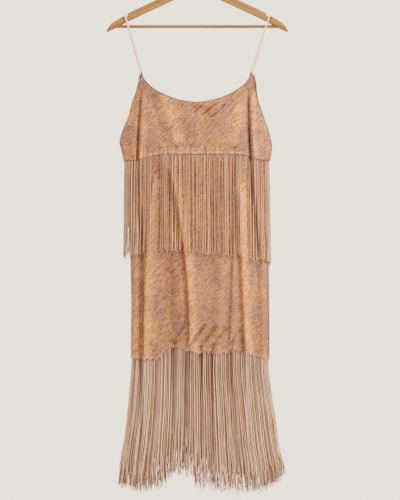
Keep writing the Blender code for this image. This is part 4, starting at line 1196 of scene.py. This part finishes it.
strap_satin, nodes, links, shader = shader_of("satin cord")
ply = noise_at(nodes, links, PLY_SCALE, 2.0, turn=0.7)
links.new(colour_ramp(nodes, links, ply, PLY_TONES), shader.inputs["Base Color"])
links.new(raise_surface(nodes, links, ply, 0.4, 0.0005), shader.inputs["Normal"])
set_finish(shader, Roughness=0.45, Sheen_Weight=0.10)
for strap_side in STRAPS:
    front_leg = strap_leg(strap_side, strap_side.front_x, FRONT)
    back_leg = strap_leg(strap_side, strap_side.back_x, BACK)
    line = smooth_route(front_leg + back_leg[::-1], STRAP_STEPS)
    strap = tube_along("satin_strap_" + strap_side.side, line, STRAP_RADIUS, STRAP_SIDES, strap_satin)
    belongs(strap, "strap_cord", "strap_" + strap_side.side)


# The setting is a plain pale floor well below the dress, a pale surround and soft studio light
# from the upper right.
FLOOR_Z = -1.75
FLOOR_HALF = 1.6
FLOOR_TONES = ((0.3, (0.76, 0.74, 0.71)), (0.7, (0.82, 0.80, 0.77)))
AMBIENT_COLOUR = (0.96, 0.93, 0.90, 1.0)
AMBIENT_STRENGTH = 0.58
WALL_COLOUR = (1.0, 0.87, 0.68, 1.0)
WALL_STRENGTH = 3.2
LIGHTS_AIM = Vector((0.0, 0.0, -0.7))
SoftBox = namedtuple("SoftBox", "name place size power colour")
SOFT_BOXES = (
    SoftBox("key light", (2.2, -1.9, 0.7), 0.9, 206.0, (1.0, 0.91, 0.74)),
    SoftBox("fill light", (-2.2, -2.0, 0.2), 1.6, 76.0, (1.0, 0.95, 0.89)),
    SoftBox("back light", (-1.5, 2.2, 0.5), 1.2, 120.0, (1.0, 0.97, 0.93)),
)

bm = bmesh.new()
bmesh.ops.create_grid(bm, x_segments=1, y_segments=1, size=FLOOR_HALF)
bmesh.ops.translate(bm, vec=(0.0, 0.0, FLOOR_Z), verts=bm.verts[:])
plaster, nodes, links, shader = shader_of("pale floor")
speck = noise_at(nodes, links, (6.0, 6.0, 6.0))
links.new(colour_ramp(nodes, links, speck, FLOOR_TONES), shader.inputs["Base Color"])
set_finish(shader, Roughness=0.8)
floor = add_piece("floor", finished_mesh(bm, "floor"), plaster, smooth=False)

world = bpy.data.worlds.new("surround")
world.use_nodes = True
nodes = world.node_tree.nodes
links = world.node_tree.links
ambient = nodes["Background"]
ambient.inputs["Color"].default_value = AMBIENT_COLOUR
ambient.inputs["Strength"].default_value = AMBIENT_STRENGTH
wall = nodes.new("ShaderNodeBackground")
wall.inputs["Color"].default_value = WALL_COLOUR
wall.inputs["Strength"].default_value = WALL_STRENGTH
ray = nodes.new("ShaderNodeLightPath")
either = nodes.new("ShaderNodeMixShader")
links.new(ray.outputs["Is Camera Ray"], either.inputs[0])
links.new(ambient.outputs[0], either.inputs[1])
links.new(wall.outputs[0], either.inputs[2])
links.new(either.outputs[0], nodes["World Output"].inputs["Surface"])
bpy.context.scene.world = world

for soft_box in SOFT_BOXES:
    lamp = bpy.data.lights.new(soft_box.name, "AREA")
    lamp.shape = "SQUARE"
    lamp.size = soft_box.size
    lamp.energy = soft_box.power
    lamp.color = soft_box.colour
    light = new_object(soft_box.name, lamp)
    light.location = soft_box.place
    light.rotation_euler = (LIGHTS_AIM - Vector(soft_box.place)).to_track_quat("-Z", "Y").to_euler()


# The camera stands level with the middle of the dress, straight in front of it. The picture
# crops the hook and the top of the hanger, as the photograph does.
CAMERA_DISTANCE = 3.2
CAMERA_X = 0.0068
CAMERA_Z = -0.738
VIEW_HEIGHT = 1.21
SENSOR = 0.036

lens = bpy.data.cameras.new("camera")
lens.sensor_width = SENSOR * 1000.0
lens.lens = SENSOR * 1000.0 * CAMERA_DISTANCE / VIEW_HEIGHT
camera = new_object("camera", lens)
camera.location = (CAMERA_X, -CAMERA_DISTANCE, CAMERA_Z)
camera.rotation_euler = (math.radians(90), 0.0, 0.0)
bpy.context.scene.camera = camera
